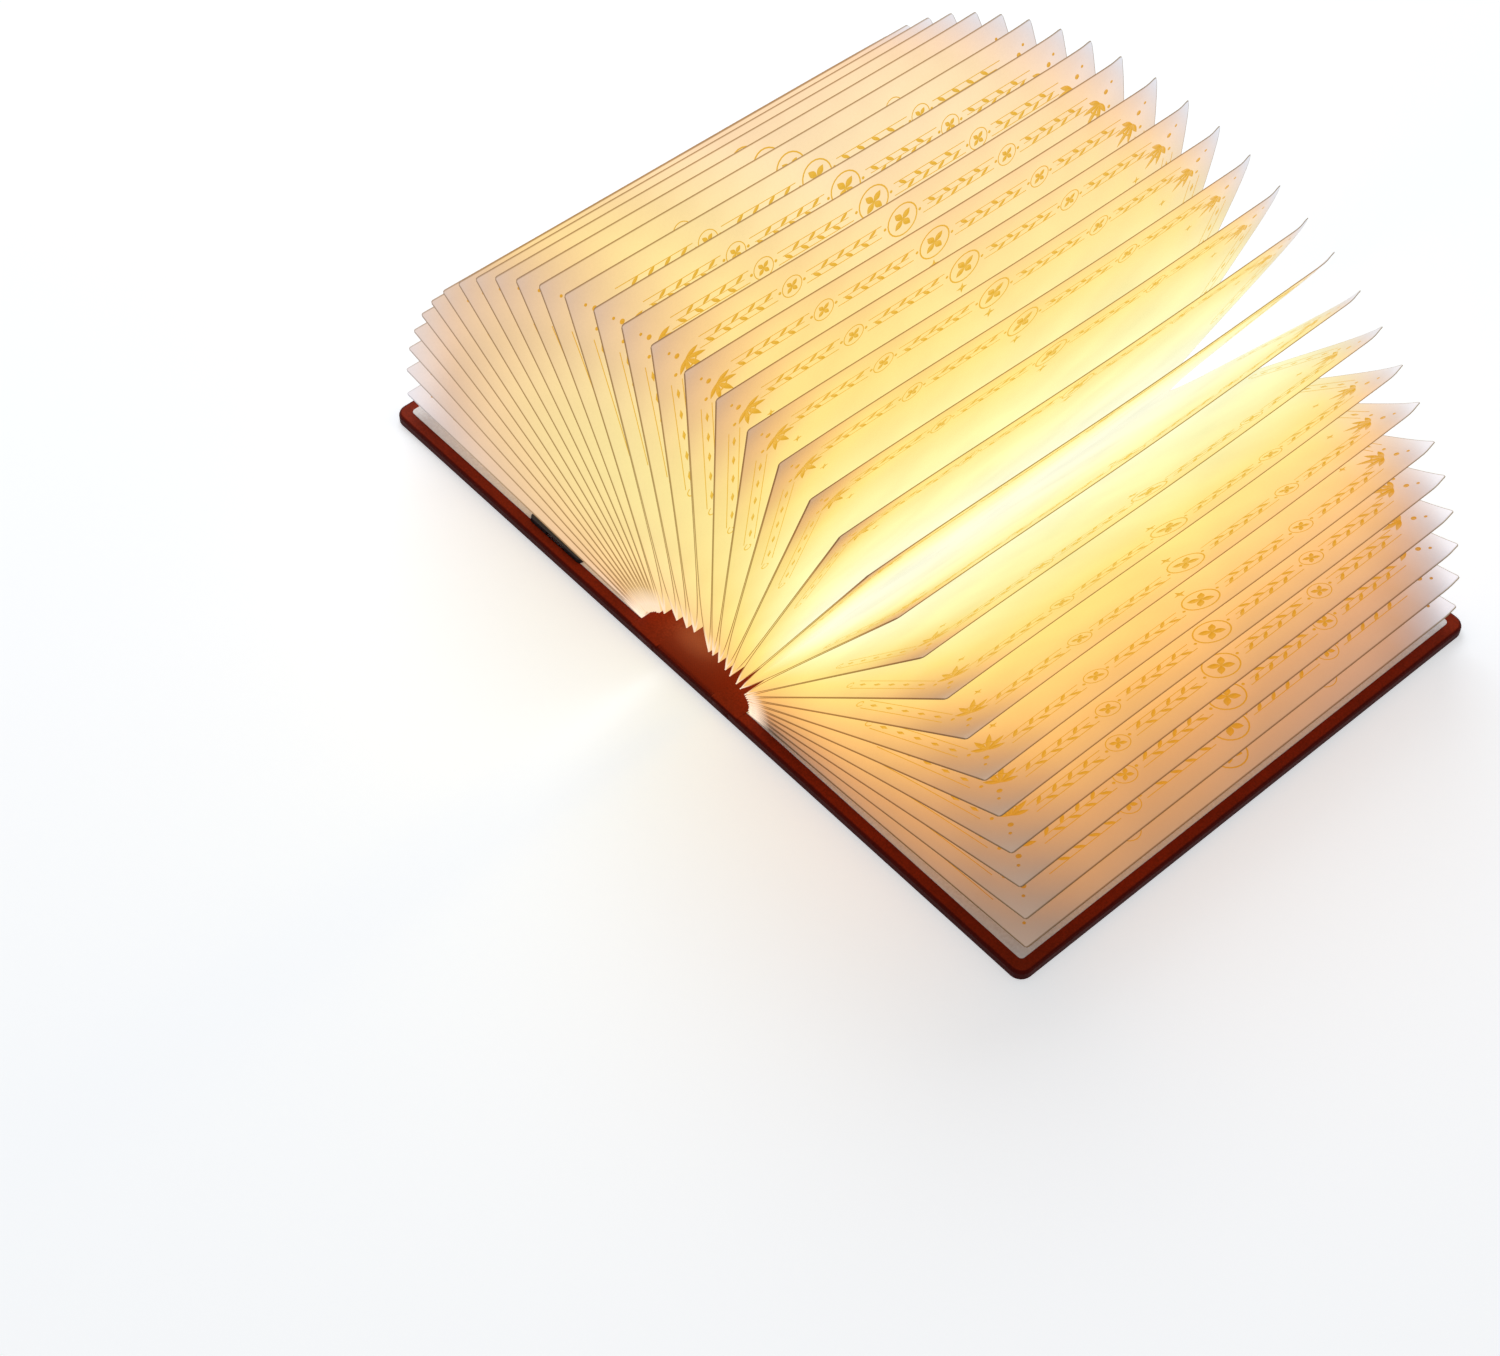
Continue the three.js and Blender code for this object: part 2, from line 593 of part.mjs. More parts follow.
function hubPoints() {
  const outline = [];
  const fineness = ARCH_STEPS_PER_LEAF * LEAF_COUNT;
  for (let step = 0; step <= fineness; step += 1) {
    outline.push(hubPoint((step / fineness - 0.5) * Math.PI));
  }
  const travelled = [0];
  for (let step = 1; step < outline.length; step += 1) {
    travelled.push(travelled[step - 1] + outline[step].distanceTo(outline[step - 1]));
  }
  const total = travelled[travelled.length - 1];
  return Array.from({ length: LEAF_COUNT }, (_, index) => {
    const wanted = (index / (LEAF_COUNT - 1)) * total;
    const next = Math.max(1, travelled.findIndex((length) => length >= wanted));
    const share = (wanted - travelled[next - 1]) / (travelled[next] - travelled[next - 1]);
    return outline[next - 1].clone().lerp(outline[next], Math.min(share, 1));
  });
}

// Each leaf keeps the crease on the side that faces the middle of the fan
const middle = (LEAF_COUNT - 1) / 2;
const leafShapes = new Map([-1, 0, 1].map((side) => [side, leafGeometry(side)]));

hubPoints().forEach((foot, index) => {
  const creaseSide = Math.sign(middle - index);
  const leaf = addPiece(
    `leaf_${String(index + 1).padStart(2, '0')}`, leafShapes.get(creaseSide), leafPaper);
  leaf.position.set(foot.x, 0, foot.y);
  leaf.rotation.y = ((index - middle) / middle) * FAN_HALF_ANGLE;
});

export default lamp;
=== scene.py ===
# %% [markdown]
# # A folding book lamp
# The real object is a hard-cover book. Opened flat it is a lamp: a strip of pleated paper
# stands up from the spine as a fan of 33 leaves, lit from below by a light bar. Closed, it is
# a book. The CAD model gives every size and every joint, so it is loaded first and is never
# moved. What is made here is what CAD can't give: paper, leatherette, gold foil and light.

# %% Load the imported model
import math

import bmesh
import bpy
import numpy as np
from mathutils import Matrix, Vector


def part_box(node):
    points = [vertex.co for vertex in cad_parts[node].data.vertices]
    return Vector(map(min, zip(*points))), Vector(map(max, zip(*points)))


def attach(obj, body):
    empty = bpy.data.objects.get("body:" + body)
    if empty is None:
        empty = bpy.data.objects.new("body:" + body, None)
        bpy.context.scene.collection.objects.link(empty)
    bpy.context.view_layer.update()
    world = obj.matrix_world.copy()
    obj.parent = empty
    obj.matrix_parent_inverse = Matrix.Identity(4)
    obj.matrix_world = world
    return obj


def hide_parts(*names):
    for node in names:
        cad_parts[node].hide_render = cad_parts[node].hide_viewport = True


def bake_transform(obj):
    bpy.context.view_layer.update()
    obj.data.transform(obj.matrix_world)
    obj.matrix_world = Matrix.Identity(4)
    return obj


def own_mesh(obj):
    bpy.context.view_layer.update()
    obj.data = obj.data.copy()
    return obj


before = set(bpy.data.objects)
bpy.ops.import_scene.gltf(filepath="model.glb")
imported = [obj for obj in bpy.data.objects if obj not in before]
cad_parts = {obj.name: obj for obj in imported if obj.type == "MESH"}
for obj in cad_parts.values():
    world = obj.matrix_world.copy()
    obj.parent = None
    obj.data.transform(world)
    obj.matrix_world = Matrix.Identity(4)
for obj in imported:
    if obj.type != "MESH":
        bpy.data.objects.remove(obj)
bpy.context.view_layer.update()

MM = 0.001

# %% [markdown]
# ## Camera
# The camera stands where the photographer's did: above the tail of the book and to its
# right. Its focal length, place and tilt were solved from the corners of the covers and the
# ends of the 33 folds.

# %% Camera
scene = bpy.context.scene
camera_data = bpy.data.cameras.new("photo_camera")
camera_data.sensor_fit = "HORIZONTAL"
camera_data.sensor_width = 36.0
camera_data.lens = 67.08
camera = bpy.data.objects.new("photo_camera", camera_data)
camera.location = (0.45569, -0.47696, 0.74429)
camera.rotation_euler = [math.radians(angle) for angle in (38.249, 0.111, 48.597)]
scene.collection.objects.link(camera)
scene.camera = camera
scene.view_settings.view_transform = "Standard"
print("camera at", tuple(round(value, 3) for value in camera.location))

# %% [markdown]
# ## Helpers for colour and nodes
# Colours are picked as sRGB hex values, but shaders work in linear light, so one function
# turns them. One function adds a node, and short ones stand for the nodes used most.

# %% Helpers for colour and nodes


def linear(hex_colour):
    """sRGB hex to linear RGBA: c / 12.92 below 0.04045, else ((c + 0.055) / 1.055) ** 2.4."""
    channels = np.array([int(hex_colour[i:i + 2], 16) for i in (1, 3, 5)]) / 255
    low = channels / 12.92
    high = ((channels + 0.055) / 1.055) ** 2.4
    return (*np.where(channels <= 0.04045, low, high).tolist(), 1.0)


def add(tree, kind, inputs=None, out=0, **settings):
    """Adds a node, sets or links its inputs, and returns one of its output sockets."""
    node = tree.nodes.new("ShaderNode" + kind)
    for key, value in settings.items():
        setattr(node, key, value)
    for key, value in (inputs or {}).items():
        if isinstance(value, bpy.types.NodeSocket):
            tree.links.new(value, node.inputs[key])
        else:
            node.inputs[key].default_value = value
    return node.outputs[out] if node.outputs else node


def calc(tree, operation, first, second=0.0):
    """One step of arithmetic."""
    return add(tree, "Math", {0: first, 1: second}, operation=operation)


def remap(tree, value, source, target, **settings):
    """Carries the span source over to the span target, and stops at its ends."""
    return add(tree, "MapRange", {"Value": value, "From Min": source[0], "From Max": source[1],
                                  "To Min": target[0], "To Max": target[1]}, **settings)


def scaled(tree, vector, factor):
    """A vector or a colour times a number."""
    return add(tree, "VectorMath", {0: vector, "Scale": factor}, operation="SCALE")


def mixed(tree, share, first, second):
    """The colour first where the share is 0, second where it is 1."""
    return add(tree, "Mix", {"Factor": share, "A": first, "B": second}, out="Result",
               data_type="RGBA")


def ramp(tree, factor, stops):
    """A Color Ramp over stops, a list of (position, hex colour)."""
    socket = add(tree, "ValToRGB", {"Fac": factor})
    elements = socket.node.color_ramp.elements
    while len(elements) < len(stops):
        elements.new(0.5)
    for element, (position, colour) in zip(elements, sorted(stops)):
        element.position = position
        element.color = linear(colour)
    return socket


def in_millimetres(tree):
    """The place on the object in millimetres, for patterns of a real size."""
    return scaled(tree, add(tree, "TexCoord", out="Object"), 1 / MM)


def noise(tree, vector, per_mm, detail=2.0, roughness=0.5):
    """Random spots from 0 to 1, about one on every 1 / per_mm millimetres."""
    return add(tree, "TexNoise", {"Vector": vector, "Scale": per_mm, "Detail": detail,
                                  "Roughness": roughness})


def bumps(tree, height, strength, millimetres, invert=False):
    """Shading of a relief that is so many millimetres deep."""
    return add(tree, "Bump", {"Height": height, "Strength": strength,
                              "Distance": millimetres * MM}, invert=invert)


def principled(tree, **sockets):
    """The surface of the material. Sockets are named with _ for a space."""
    inputs = {key.replace("_", " "): value for key, value in sockets.items()}
    add(tree, "OutputMaterial", {"Surface": add(tree, "BsdfPrincipled", inputs)})


def new_material(name):
    """An empty material with its node tree."""
    material = bpy.data.materials.new(name)
    material.use_nodes = True
    material.node_tree.nodes.clear()
    return material, material.node_tree


print("white is", linear("#ffffff"))

# %% [markdown]
# ## Helpers for meshes
# Every new piece is points and faces worked out with numpy, so one function puts them into a
# mesh. Two shapes come back often, the slab and the tube, and their faces are numbered here.

# %% Helpers for meshes


def make_piece(name, points, faces, materials, smooth=True):
    """A mesh object at the origin, from points in millimetres and lists of corner numbers."""
    mesh = bpy.data.meshes.new(name)
    mesh.from_pydata((np.asarray(points, float) * MM).tolist(), [], faces)
    for material in materials:
        mesh.materials.append(material)
    mesh.polygons.foreach_set("use_smooth", [smooth] * len(mesh.polygons))
    mesh.update()
    piece = bpy.data.objects.new(name, mesh)
    scene.collection.objects.link(piece)
    return piece


def slab_faces(rows, columns):
    """Faces of two grids of points, the second over the first, and of the wall round them."""
    count = rows * columns
    index = np.arange(count).reshape(rows, columns)
    first = index[:-1, :-1].ravel()
    quads = np.stack([first, first + columns, first + columns + 1, first + 1], -1)
    rim = np.r_[index[0, :-1], index[:-1, -1], index[-1, :0:-1], index[:0:-1, 0]]
    after = np.roll(rim, -1)
    walls = np.stack([rim, after, after + count, rim + count], -1)
    return np.concatenate([quads, (quads + count)[:, ::-1], walls]).tolist()


def tube_faces(rings, count):
    """Faces between closed rings of count points each, and a cap on the first and last."""
    index = np.arange(rings * count).reshape(rings, count)
    first, after = index[:-1].ravel(), np.roll(index[:-1], -1, 1).ravel()
    quads = np.stack([first, first + count, after + count, after], -1)
    return quads.tolist() + [index[0].tolist(), index[-1, ::-1].tolist()]


print("faces of a slab of 2 x 2 points:", len(slab_faces(2, 2)))

# %% [markdown]
# ## Floor and light
# The photograph is a product shot on white. The floor is matt and pale, and adds a little
# brightness of its own where the camera sees it, so that it renders as white but still takes
# the soft shadow of the book. The sky is even, and white where the camera sees it. One large
# lamp stands behind the book on the left, because the photograph's shadows fall to the right
# and the edges that face the camera are dark.

# %% Floor, sky and lamp
SKY = 0.32
FLOOR_LIFT = 0.52
LAMP_WATTS = 13
FLOOR_HALF = 4000
FLOOR_Z = -0.08


def seen_by_camera(tree):
    """1 for rays that end in the picture, directly or through a mirror or glass, else 0."""
    rays = tree.nodes.new("ShaderNodeLightPath").outputs
    direct = calc(tree, "MAXIMUM", rays["Is Camera Ray"], rays["Is Glossy Ray"])
    return calc(tree, "MAXIMUM", direct, rays["Is Transmission Ray"])


floor_paint, tree = new_material("floor_matt_white_paint")
lift = calc(tree, "MULTIPLY", seen_by_camera(tree), FLOOR_LIFT)
matt = add(tree, "BsdfDiffuse", {"Color": linear("#dfe4ea")})
own = add(tree, "Emission", {"Color": (1, 1, 1, 1), "Strength": lift})
add(tree, "OutputMaterial", {"Surface": add(tree, "AddShader", {0: matt, 1: own})})
square = FLOOR_HALF * np.array([(-1, -1), (1, -1), (1, 1), (-1, 1)])
floor = make_piece("studio_floor", np.c_[square, np.full(4, FLOOR_Z)], [[0, 1, 2, 3]],
                   [floor_paint], smooth=False)

world = bpy.data.worlds.new("studio_sky")
scene.world = world
world.use_nodes = True
tree = world.node_tree
tree.nodes.clear()
level = remap(tree, seen_by_camera(tree), (0, 1), (SKY, 1))
sky = add(tree, "Background", {"Color": (1, 1, 1, 1), "Strength": level})
add(tree, "OutputWorld", {"Surface": sky})

lamp_data = bpy.data.lights.new("soft_lamp", "AREA")
lamp_data.size = 1.1
lamp_data.energy = LAMP_WATTS
soft_lamp = bpy.data.objects.new("soft_lamp", lamp_data)
soft_lamp.location = (-1.05, 0.55, 1.35)
aim = Vector((0, 0, 0.05)) - soft_lamp.location
soft_lamp.rotation_euler = aim.to_track_quat("-Z", "Y").to_euler()
scene.collection.objects.link(soft_lamp)
print("floor, sky and lamp ready")

# %% [markdown]
# ## The fan: where the leaves stand
# The pleated strip has 33 outer folds, and its inner folds stand on an arch over the light
# bar. The CAD leaf is a straight, thin wedge, so its arch is low. The real paper bows and its
# inner folds ride higher, crowded towards both covers and unevenly wide apart over the middle.
# So the outer folds are worked out from the CAD numbers, and the inner folds from three rows:
# the fold's number, x and z.

# %% Arch, feet and directions of the leaves
LEAF_COUNT = 33
LEAF_WIDTH = 129.5
LEAF_HALF = 103.0
ARCH_HALF = 29.0
ARCH_FOOT = 5.206
ARCH_TOP = 15.5
FAN_HALF_ANGLE = math.radians(86.7)
PAPER = 0.2


def arch_point(step):
    """Point of the CAD model's half ellipse at an even step along it: 0 is the first leaf's
    foot and LEAF_COUNT - 1 the last one's."""
    angle = np.linspace(-np.pi / 2, np.pi / 2, 4001)
    x, z = ARCH_HALF * np.sin(angle), ARCH_FOOT + (ARCH_TOP - ARCH_FOOT) * np.cos(angle)
    along = np.r_[0, np.cumsum(np.hypot(np.diff(x), np.diff(z)))]
    wanted = np.asarray(step, float) * along[-1] / (LEAF_COUNT - 1)
    return np.stack([np.interp(wanted, along, x), np.interp(wanted, along, z)], -1)


steps = np.arange(LEAF_COUNT)
feet = arch_point(steps)
lean = (steps / (LEAF_COUNT - 1) * 2 - 1) * FAN_HALF_ANGLE
outward = np.stack([np.sin(lean), np.cos(lean)], -1)
across = np.stack([np.cos(lean), -np.sin(lean)], -1)
FOLD_AT = [0, 2, 4, 5, 8, 12, 13, 14, 15, 16, 17, 18, 19, 20, 21, 22, 23, 24, 27, 30, 33]
FOLD_X = [-26.8, -25.2, -24.4, -22.9, -19.8, -16.6, -14.2, -8.2, -2.7, 2.5, 8.3, 10.8, 12.8, 17.2,
          18.9, 22.0, 24.9, 26.5, 28.2, 28.8, 28.6]
FOLD_Z = [4.9, 7.6, 10.2, 11.3, 14.2, 17.0, 18.2, 20.6, 21.6, 23.4, 19.2, 19.4, 18.5, 17.0, 16.0,
          15.0, 14.0, 13.2, 11.4, 8.6, 5.1]
UNEVEN = 0.25
rng = np.random.default_rng(7)
uneven = UNEVEN * rng.uniform(-1, 1, (LEAF_COUNT + 1, 2))
uneven[[0, -1]] = 0
order = np.arange(LEAF_COUNT + 1) + uneven[:, 0]
inner_folds = np.stack([np.interp(order, FOLD_AT, row) for row in (FOLD_X, FOLD_Z)], -1)
inner_folds *= 1 + uneven[:, 1:] / np.linalg.norm(inner_folds, axis=1, keepdims=True)

# %% [markdown]
# ## The fan: the shape of one leaf
# Paper this thin never stands quite flat. Each leaf sags away from upright, a little more at
# its free edge, and ripples along the book. Its head corner curls up in a small hook on the
# right, and leans out a little on the left. The leaves next to the covers have no room, so
# they stay nearly flat. All of it is one function of the distance s from the outer fold and
# the place y along the book.

# %% One leaf as a function of two parameters
SAG_LEFT, SAG_RIGHT = -3.0, 2.6
SAG_TAIL, SAG_HEAD = 0.75, 1.1
RIPPLE, RIPPLE_LENGTH = 0.45, 34
CURL, CURL_REACH = 1.3, 13
HOOK, HOOK_REACH, HOOK_DEPTH = 1.15, 3.8, 9
NOSE, NOSE_DEPTH = 0.11, 0.45
BULGE = 0.03
PARTING_POWER = 12
CORNER, CORNER_DEPTH = 1.0, 3
RISE_HEAD, SETTLE_LOW = 1.8, 0.6
restless = rng.uniform(-0.55, 0.55, LEAF_COUNT)
phase = np.cumsum(rng.uniform(-0.5, 0.5, LEAF_COUNT))
room = np.clip(np.minimum(steps, LEAF_COUNT - 1 - steps) / 5, 0, 1)
hook_share = np.clip((np.degrees(lean) + 40) / 50, 0, 1)


def leaf_point(leaf, side, s, y):
    """Middle of the paper. The point lies on the line from the outer fold to the middle of
    the leaf's two inner folds, at share = s / width of the way. The two sheets (side -1 and 1)
    lie together and part near the spine, by 0.1 * share + 0.9 * share ** 12 of the way to
    their inner folds. Then the point moves across the leaf by sag * (1 - share) ** 1.5 +
    ripple * sin(y) * (1 - share) ** 2, and back by curl and hook, which are bell curves of the
    distance from the head. It moves out towards the head where the leaf stands up, in where it
    lies, and in by the rounding of the corner. Beside the outer fold the sheets part by a
    nose."""
    share = s / LEAF_WIDTH
    free = 1 - share
    fold = feet[leaf] + outward[leaf] * LEAF_WIDTH
    inner = (inner_folds[leaf] + inner_folds[leaf + 1]) / 2
    apart = (inner_folds[leaf + 1] - inner_folds[leaf]) / 2
    parting = side * (0.1 * share + 0.9 * share ** PARTING_POWER)
    point = fold + (inner - fold) * share[..., None] + apart * parting[..., None]

    head = (y / LEAF_HALF + 1) / 2
    from_head = LEAF_HALF - y
    droop = (SAG_RIGHT if lean[leaf] > 0 else SAG_LEFT) * abs(np.sin(lean[leaf])) ** 0.6
    droop = droop * (SAG_TAIL + (SAG_HEAD - SAG_TAIL) * head) + restless[leaf]
    ripple = RIPPLE * np.sin(y / RIPPLE_LENGTH + phase[leaf])
    curl = CURL * (1 - hook_share[leaf]) * np.exp(-(from_head / CURL_REACH) ** 2)
    hook = HOOK * hook_share[leaf] * np.exp(-s / HOOK_DEPTH - (from_head / HOOK_REACH) ** 2)
    bend = room[leaf] * (droop * free ** 1.5 + ripple * free ** 2 - curl * free ** 6) - hook
    bulge = BULGE * side * np.sin(np.pi * share) * free
    nose = NOSE * side * (1 - np.exp(-s / NOSE_DEPTH))

    corner_in = np.clip(np.abs(y) - (LEAF_HALF - CORNER), 0, CORNER)
    cut = CORNER - np.sqrt(CORNER ** 2 - corner_in ** 2)
    settle = SETTLE_LOW * np.sin(lean[leaf]) ** 2 - RISE_HEAD * head * np.cos(lean[leaf])
    inwards = cut * np.exp(-s / CORNER_DEPTH) - settle * free ** 2
    point = (point + across[leaf] * (bend + bulge + nose)[..., None]
             - outward[leaf] * inwards[..., None])
    return np.stack([point[..., 0], y + 0 * s, point[..., 1]], -1)


S_STEPS = np.array([0, 0.25, 0.6, 1.5, 4, 8, 14, 22, 32, 44, 57, 71, 86, 98, 107, 113, 117, 120.5,
                    123.5, 126, 128, LEAF_WIDTH])
END_STEPS = np.array([0, 0.4, 1.0, 1.8, 3, 4.4, 6.2, 8.5, 12])
middle_steps = np.linspace(20, 2 * LEAF_HALF - 20, 19)
y_line = np.r_[END_STEPS, middle_steps, 2 * LEAF_HALF - END_STEPS[::-1]] - LEAF_HALF
s_line = np.r_[-S_STEPS[:0:-1], S_STEPS]
print("points on one sheet:", len(s_line) * len(y_line))

# %% [markdown]
# ## The glow
# The light bar is brightest along the spine and ends 15 mm short of head and tail. What the
# eye sees is its light coming through the paper: near white by the spine, then pale yellow,
# amber and peach, and plain grey-pink paper at the free corners. Real light would have to pass
# through many sheets, which is slow and noisy, so each point gets a glow number and a light
# colour from a formula, and the material paints them in as its own light. The leaves over the
# middle glow furthest out.

# %% Glow number of a point of the paper
LEANS = [-87, -70, -55, -20, 0, 20, 40, 52, 65, 76, 87]
AT_FOLD = [0.34, 0.50, 0.60, 0.66, 0.58, 0.62, 0.74, 0.56, 0.42, 0.30, 0.20]
AT_SPINE = [0.90, 0.92, 0.92, 0.93, 0.92, 0.98, 0.98, 0.95, 0.94, 0.88, 0.80]
RISE_POWER = [0.9, 0.9, 0.9, 0.8, 0.6, 0.6, 0.5, 0.65, 0.8, 0.8, 0.8]
DIM_REACH = 40.0


def near_end(y, reach):
    """0 to 1 over the last millimetres towards head and tail."""
    return np.clip((np.abs(y) - (LEAF_HALF - reach)) / reach, 0, 1)


def glow_at(leaf, s, y):
    """fold + (spine - fold) * (s / width) ** power, less a loss that grows as t ** 2 towards
    head and tail, where t runs from 0 to 1 over the last 40 mm. At the head the loss is only
    near the fold, as exp(-s / 22). At the tail it is also near the spine, as
    (s / width) ** 3, because the light bar ends before the paper does. On the lowest leaves it
    grows further near the spine, as exp(-leaves above the cover / 2.5) * (s / width) ** 2,
    which is painted shade."""
    degrees = math.degrees(lean[leaf])
    fold, spine, power = (np.interp(degrees, LEANS, row)
                          for row in (AT_FOLD, AT_SPINE, RISE_POWER))
    share = s / LEAF_WIDTH
    right = np.clip(degrees / 60, 0, 1)
    low = np.exp(-min(leaf, LEAF_COUNT - 1 - leaf) / 2.5)
    at_tail = (0.26 * np.exp(-s / 30) + 0.02 + 0.14 * right + 0.38 * share ** 3
               + 0.4 * low * share ** 2)
    loss = np.where(y > 0, 0.3 * np.exp(-s / 22), at_tail)
    rise = fold + (spine - fold) * share ** power
    return np.clip(rise - loss * near_end(y, DIM_REACH) ** 2, 0, 1)


print("glow at fold, middle, spine:", [round(float(glow_at(16, np.array(s), np.array(0.0))), 2)
                                       for s in (0.0, 65.0, 129.0)])

# %% [markdown]
# ## The colour of the light
# On the left the studio light mixes in, so the colours there are paler. On the right the leaves
# lie in the shade of the fan, and their deeper colours are painted shade. At the free corners a
# cool grey is painted in, as daylight shows the paper. It is darker at the tail and on the
# leaves that lie, which is painted shade. Both go with the place on the leaf, as the glow does.

# %% Light colour of a point of the paper
GREY_REACH = 30.0
RIGHT_LIGHT = [(0.0, "#4a3a2a"), (0.15, "#886449"), (0.35, "#c4905e"), (0.55, "#f8c274"),
               (0.7, "#ffe484"), (0.85, "#fffcb8"), (1.0, "#ffffe8")]
LEFT_LIGHT = [(0.0, "#c4bab8"), (0.2, "#d0b8a2"), (0.4, "#e6bd8a"), (0.6, "#fad89a"),
              (0.78, "#fff2a4"), (1.0, "#ffffdc")]
GREY_HEAD, GREY_TAIL, SHADED_GREY_RIGHT, GREY_LOW = (
    np.array(linear(colour)[:3]) for colour in ("#d2dae8", "#b6a6a8", "#ad8f76", "#adb6c8"))


def ramp_colour(glow, stops):
    """Linear RGB between the stops at the glow numbers, channel by channel."""
    places = [place for place, colour in stops]
    colours = np.array([linear(colour)[:3] for place, colour in stops])
    return np.stack([np.interp(glow, places, colours[:, i]) for i in range(3)], -1)


def between(first, second, share):
    """first * (1 - share) + second * share."""
    return first * (1 - share) + second * share


def light_at(leaf, glow, s, y):
    """The left colours up to 15 degrees left of upright, the right ones from 20 degrees
    right of it. Towards the head they turn bluer where the leaf shines little, as by daylight
    from there. Towards head and tail a cool grey takes over, by share * exp(-s / length) *
    t ** (2 - low), where t runs from 0 to 1 over the last 30 mm and low = exp(-number of the
    leaf / 4.5) is large on the lowest leaves on the left. Daylight passes through few sheets
    there, so the grey reaches further, is bluer and nearly hides the dark edge lines. The
    fourth number of the result is the strength of those lines."""
    degrees = math.degrees(lean[leaf])
    right = np.clip((degrees + 15) / 35, 0, 1)
    own = between(ramp_colour(glow, LEFT_LIGHT), ramp_colour(glow, RIGHT_LIGHT), right)
    at_left = (1 - right) * np.clip((y + 60) / 60, 0, 1)
    at_head = right * np.clip((y + 20) / 80, 0, 1) * (1 - glow)
    own[..., 1] *= 1 + 0.1 * at_head
    own[..., 2] *= 1 + 0.5 * at_left * (1 - 0.3 * glow) + 0.7 * at_head

    low = math.exp(-leaf / 4.5)
    lies = np.clip(degrees / 87, 0, 1)
    # Painted shade: the grey is darker at the tail than at the head, browner and darker on the
    # right, and darker on the leaves that lie.
    tail = between(between(GREY_TAIL, SHADED_GREY_RIGHT, right), GREY_LOW, low)
    grey = np.where((y > 0)[..., None], GREY_HEAD * (1 - 0.25 * lies ** 4),
                    tail * (1 - 0.45 * lies))
    t = near_end(y, GREY_REACH)
    fades = np.exp(-s / np.where(y > 0, 26, 30 + 26 * low))
    share = np.where(y > 0, 1 + 0.3 * right, 0.65 + 0.3 * low)
    share = np.clip(share * fades * t ** (2 - low), 0, 1)
    colour = between(own, grey, share[..., None])
    return np.concatenate([colour, (1 - 0.75 * low * fades * t)[..., None]], -1)


print("full glow on the left:", ramp_colour(1.0, LEFT_LIGHT).round(2))

# %% [markdown]
# ## Paper of the leaves
# The real leaves are coated synthetic paper, tough and matt, that lets light through. The
# base colour is nearly white where the paper is only lit from outside, and falls where it
# shines, so that the two don't add up past white. The cut edge and the folded edge are darker
# and browner: light leaves the sheet there sideways. Where the two sheets of a leaf part, by
# the spine, their cut ends are bright again. Fibres are about 1 mm long; a real fibre is finer,
# and is drawn that coarse so that it shows.

# %% Paper and ink materials
OWN_LIGHT = 0.92
EDGE_DIMS = "#ae9a7c"
LIT_END = "#ffe6cc"
REFLECT = [(0.0, "#d8cec8"), (0.2, "#c0b2a4"), (0.45, "#988468"), (0.75, "#5c4c30"),
           (1.0, "#382e1a")]
INK_REFLECT = [(0.1, "#a9772c"), (0.5, "#8a5c12"), (0.9, "#6a5420")]
INK_LIGHT = [(0.1, "#8a5c18"), (0.3, "#b8801c"), (0.55, "#d09a24"), (0.8, "#dcb83c"),
             (1.0, "#e8d880")]
paper, tree = new_material("leaf_synthetic_paper_matt_coated")
glow = add(tree, "Attribute", attribute_name="glow", out="Fac")
light = add(tree, "Attribute", attribute_name="light", out="Color")
strength = add(tree, "Attribute", attribute_name="light", out="Alpha")
uv = add(tree, "UVMap", uv_map="leaf_mm")
place = add(tree, "SeparateXYZ", {"Vector": uv}).node.outputs
to_fold = calc(tree, "ABSOLUTE", place["X"])
to_end = calc(tree, "SUBTRACT", LEAF_HALF, calc(tree, "ABSOLUTE", place["Y"]))
fibres = noise(tree, uv, 0.9, 4.0, 0.65)
mottle = remap(tree, noise(tree, uv, 0.03), (0.25, 0.75), (0.9, 1.06))
speck = remap(tree, fibres, (0, 1), (0.95, 1.05))
shine = scaled(tree, light, calc(tree, "MULTIPLY", mottle, speck))

at_fold = remap(tree, to_fold, (0.15, 0.55), (1, 0))
pressed = remap(tree, to_fold, (116, 126), (1, 0.15))
at_end = calc(tree, "MULTIPLY", remap(tree, to_end, (0.05, 0.35), (1, 0)), pressed)
edge = calc(tree, "MULTIPLY", calc(tree, "MAXIMUM", at_fold, at_end), strength)
dimmed = mixed(tree, edge, (1, 1, 1, 1), linear(EDGE_DIMS))
shine, body = (add(tree, "VectorMath", {0: colour, 1: dimmed}, operation="MULTIPLY")
               for colour in (shine, ramp(tree, glow, REFLECT)))
by_spine = remap(tree, to_fold, (119, 126), (0, 0.85))
lit_end = calc(tree, "MULTIPLY", remap(tree, to_end, (0.45, 0.85), (1, 0)), by_spine)
shine = mixed(tree, lit_end, shine, linear(LIT_END))
principled(tree, Base_Color=body, Roughness=0.78, Emission_Color=shine,
           Emission_Strength=OWN_LIGHT, Specular_IOR_Level=0.3,
           Normal=bumps(tree, fibres, 0.25, 0.2))

# The ink shows the painted glow as well: its own light and its base colour follow the glow number.
ink, tree = new_material("gold_ink_screen_printed")
glow = add(tree, "Attribute", attribute_name="glow", out="Fac")
grain = noise(tree, add(tree, "UVMap", uv_map="leaf_mm"), 1.6)
lively = calc(tree, "ADD", glow, remap(tree, grain, (0, 1), (-0.08, 0.08)))
principled(tree, Base_Color=ramp(tree, lively, INK_REFLECT), Roughness=0.45,
           Emission_Color=ramp(tree, lively, INK_LIGHT), Emission_Strength=OWN_LIGHT)
print("paper and ink ready")

# %% [markdown]
# ## Flat ornament
# Both the gold print on the leaves and the gold foil on the case are flat shapes: lines,
# rings, dots, stars and small leaves. Each function returns points in a plane and faces.

# %% Flat shapes


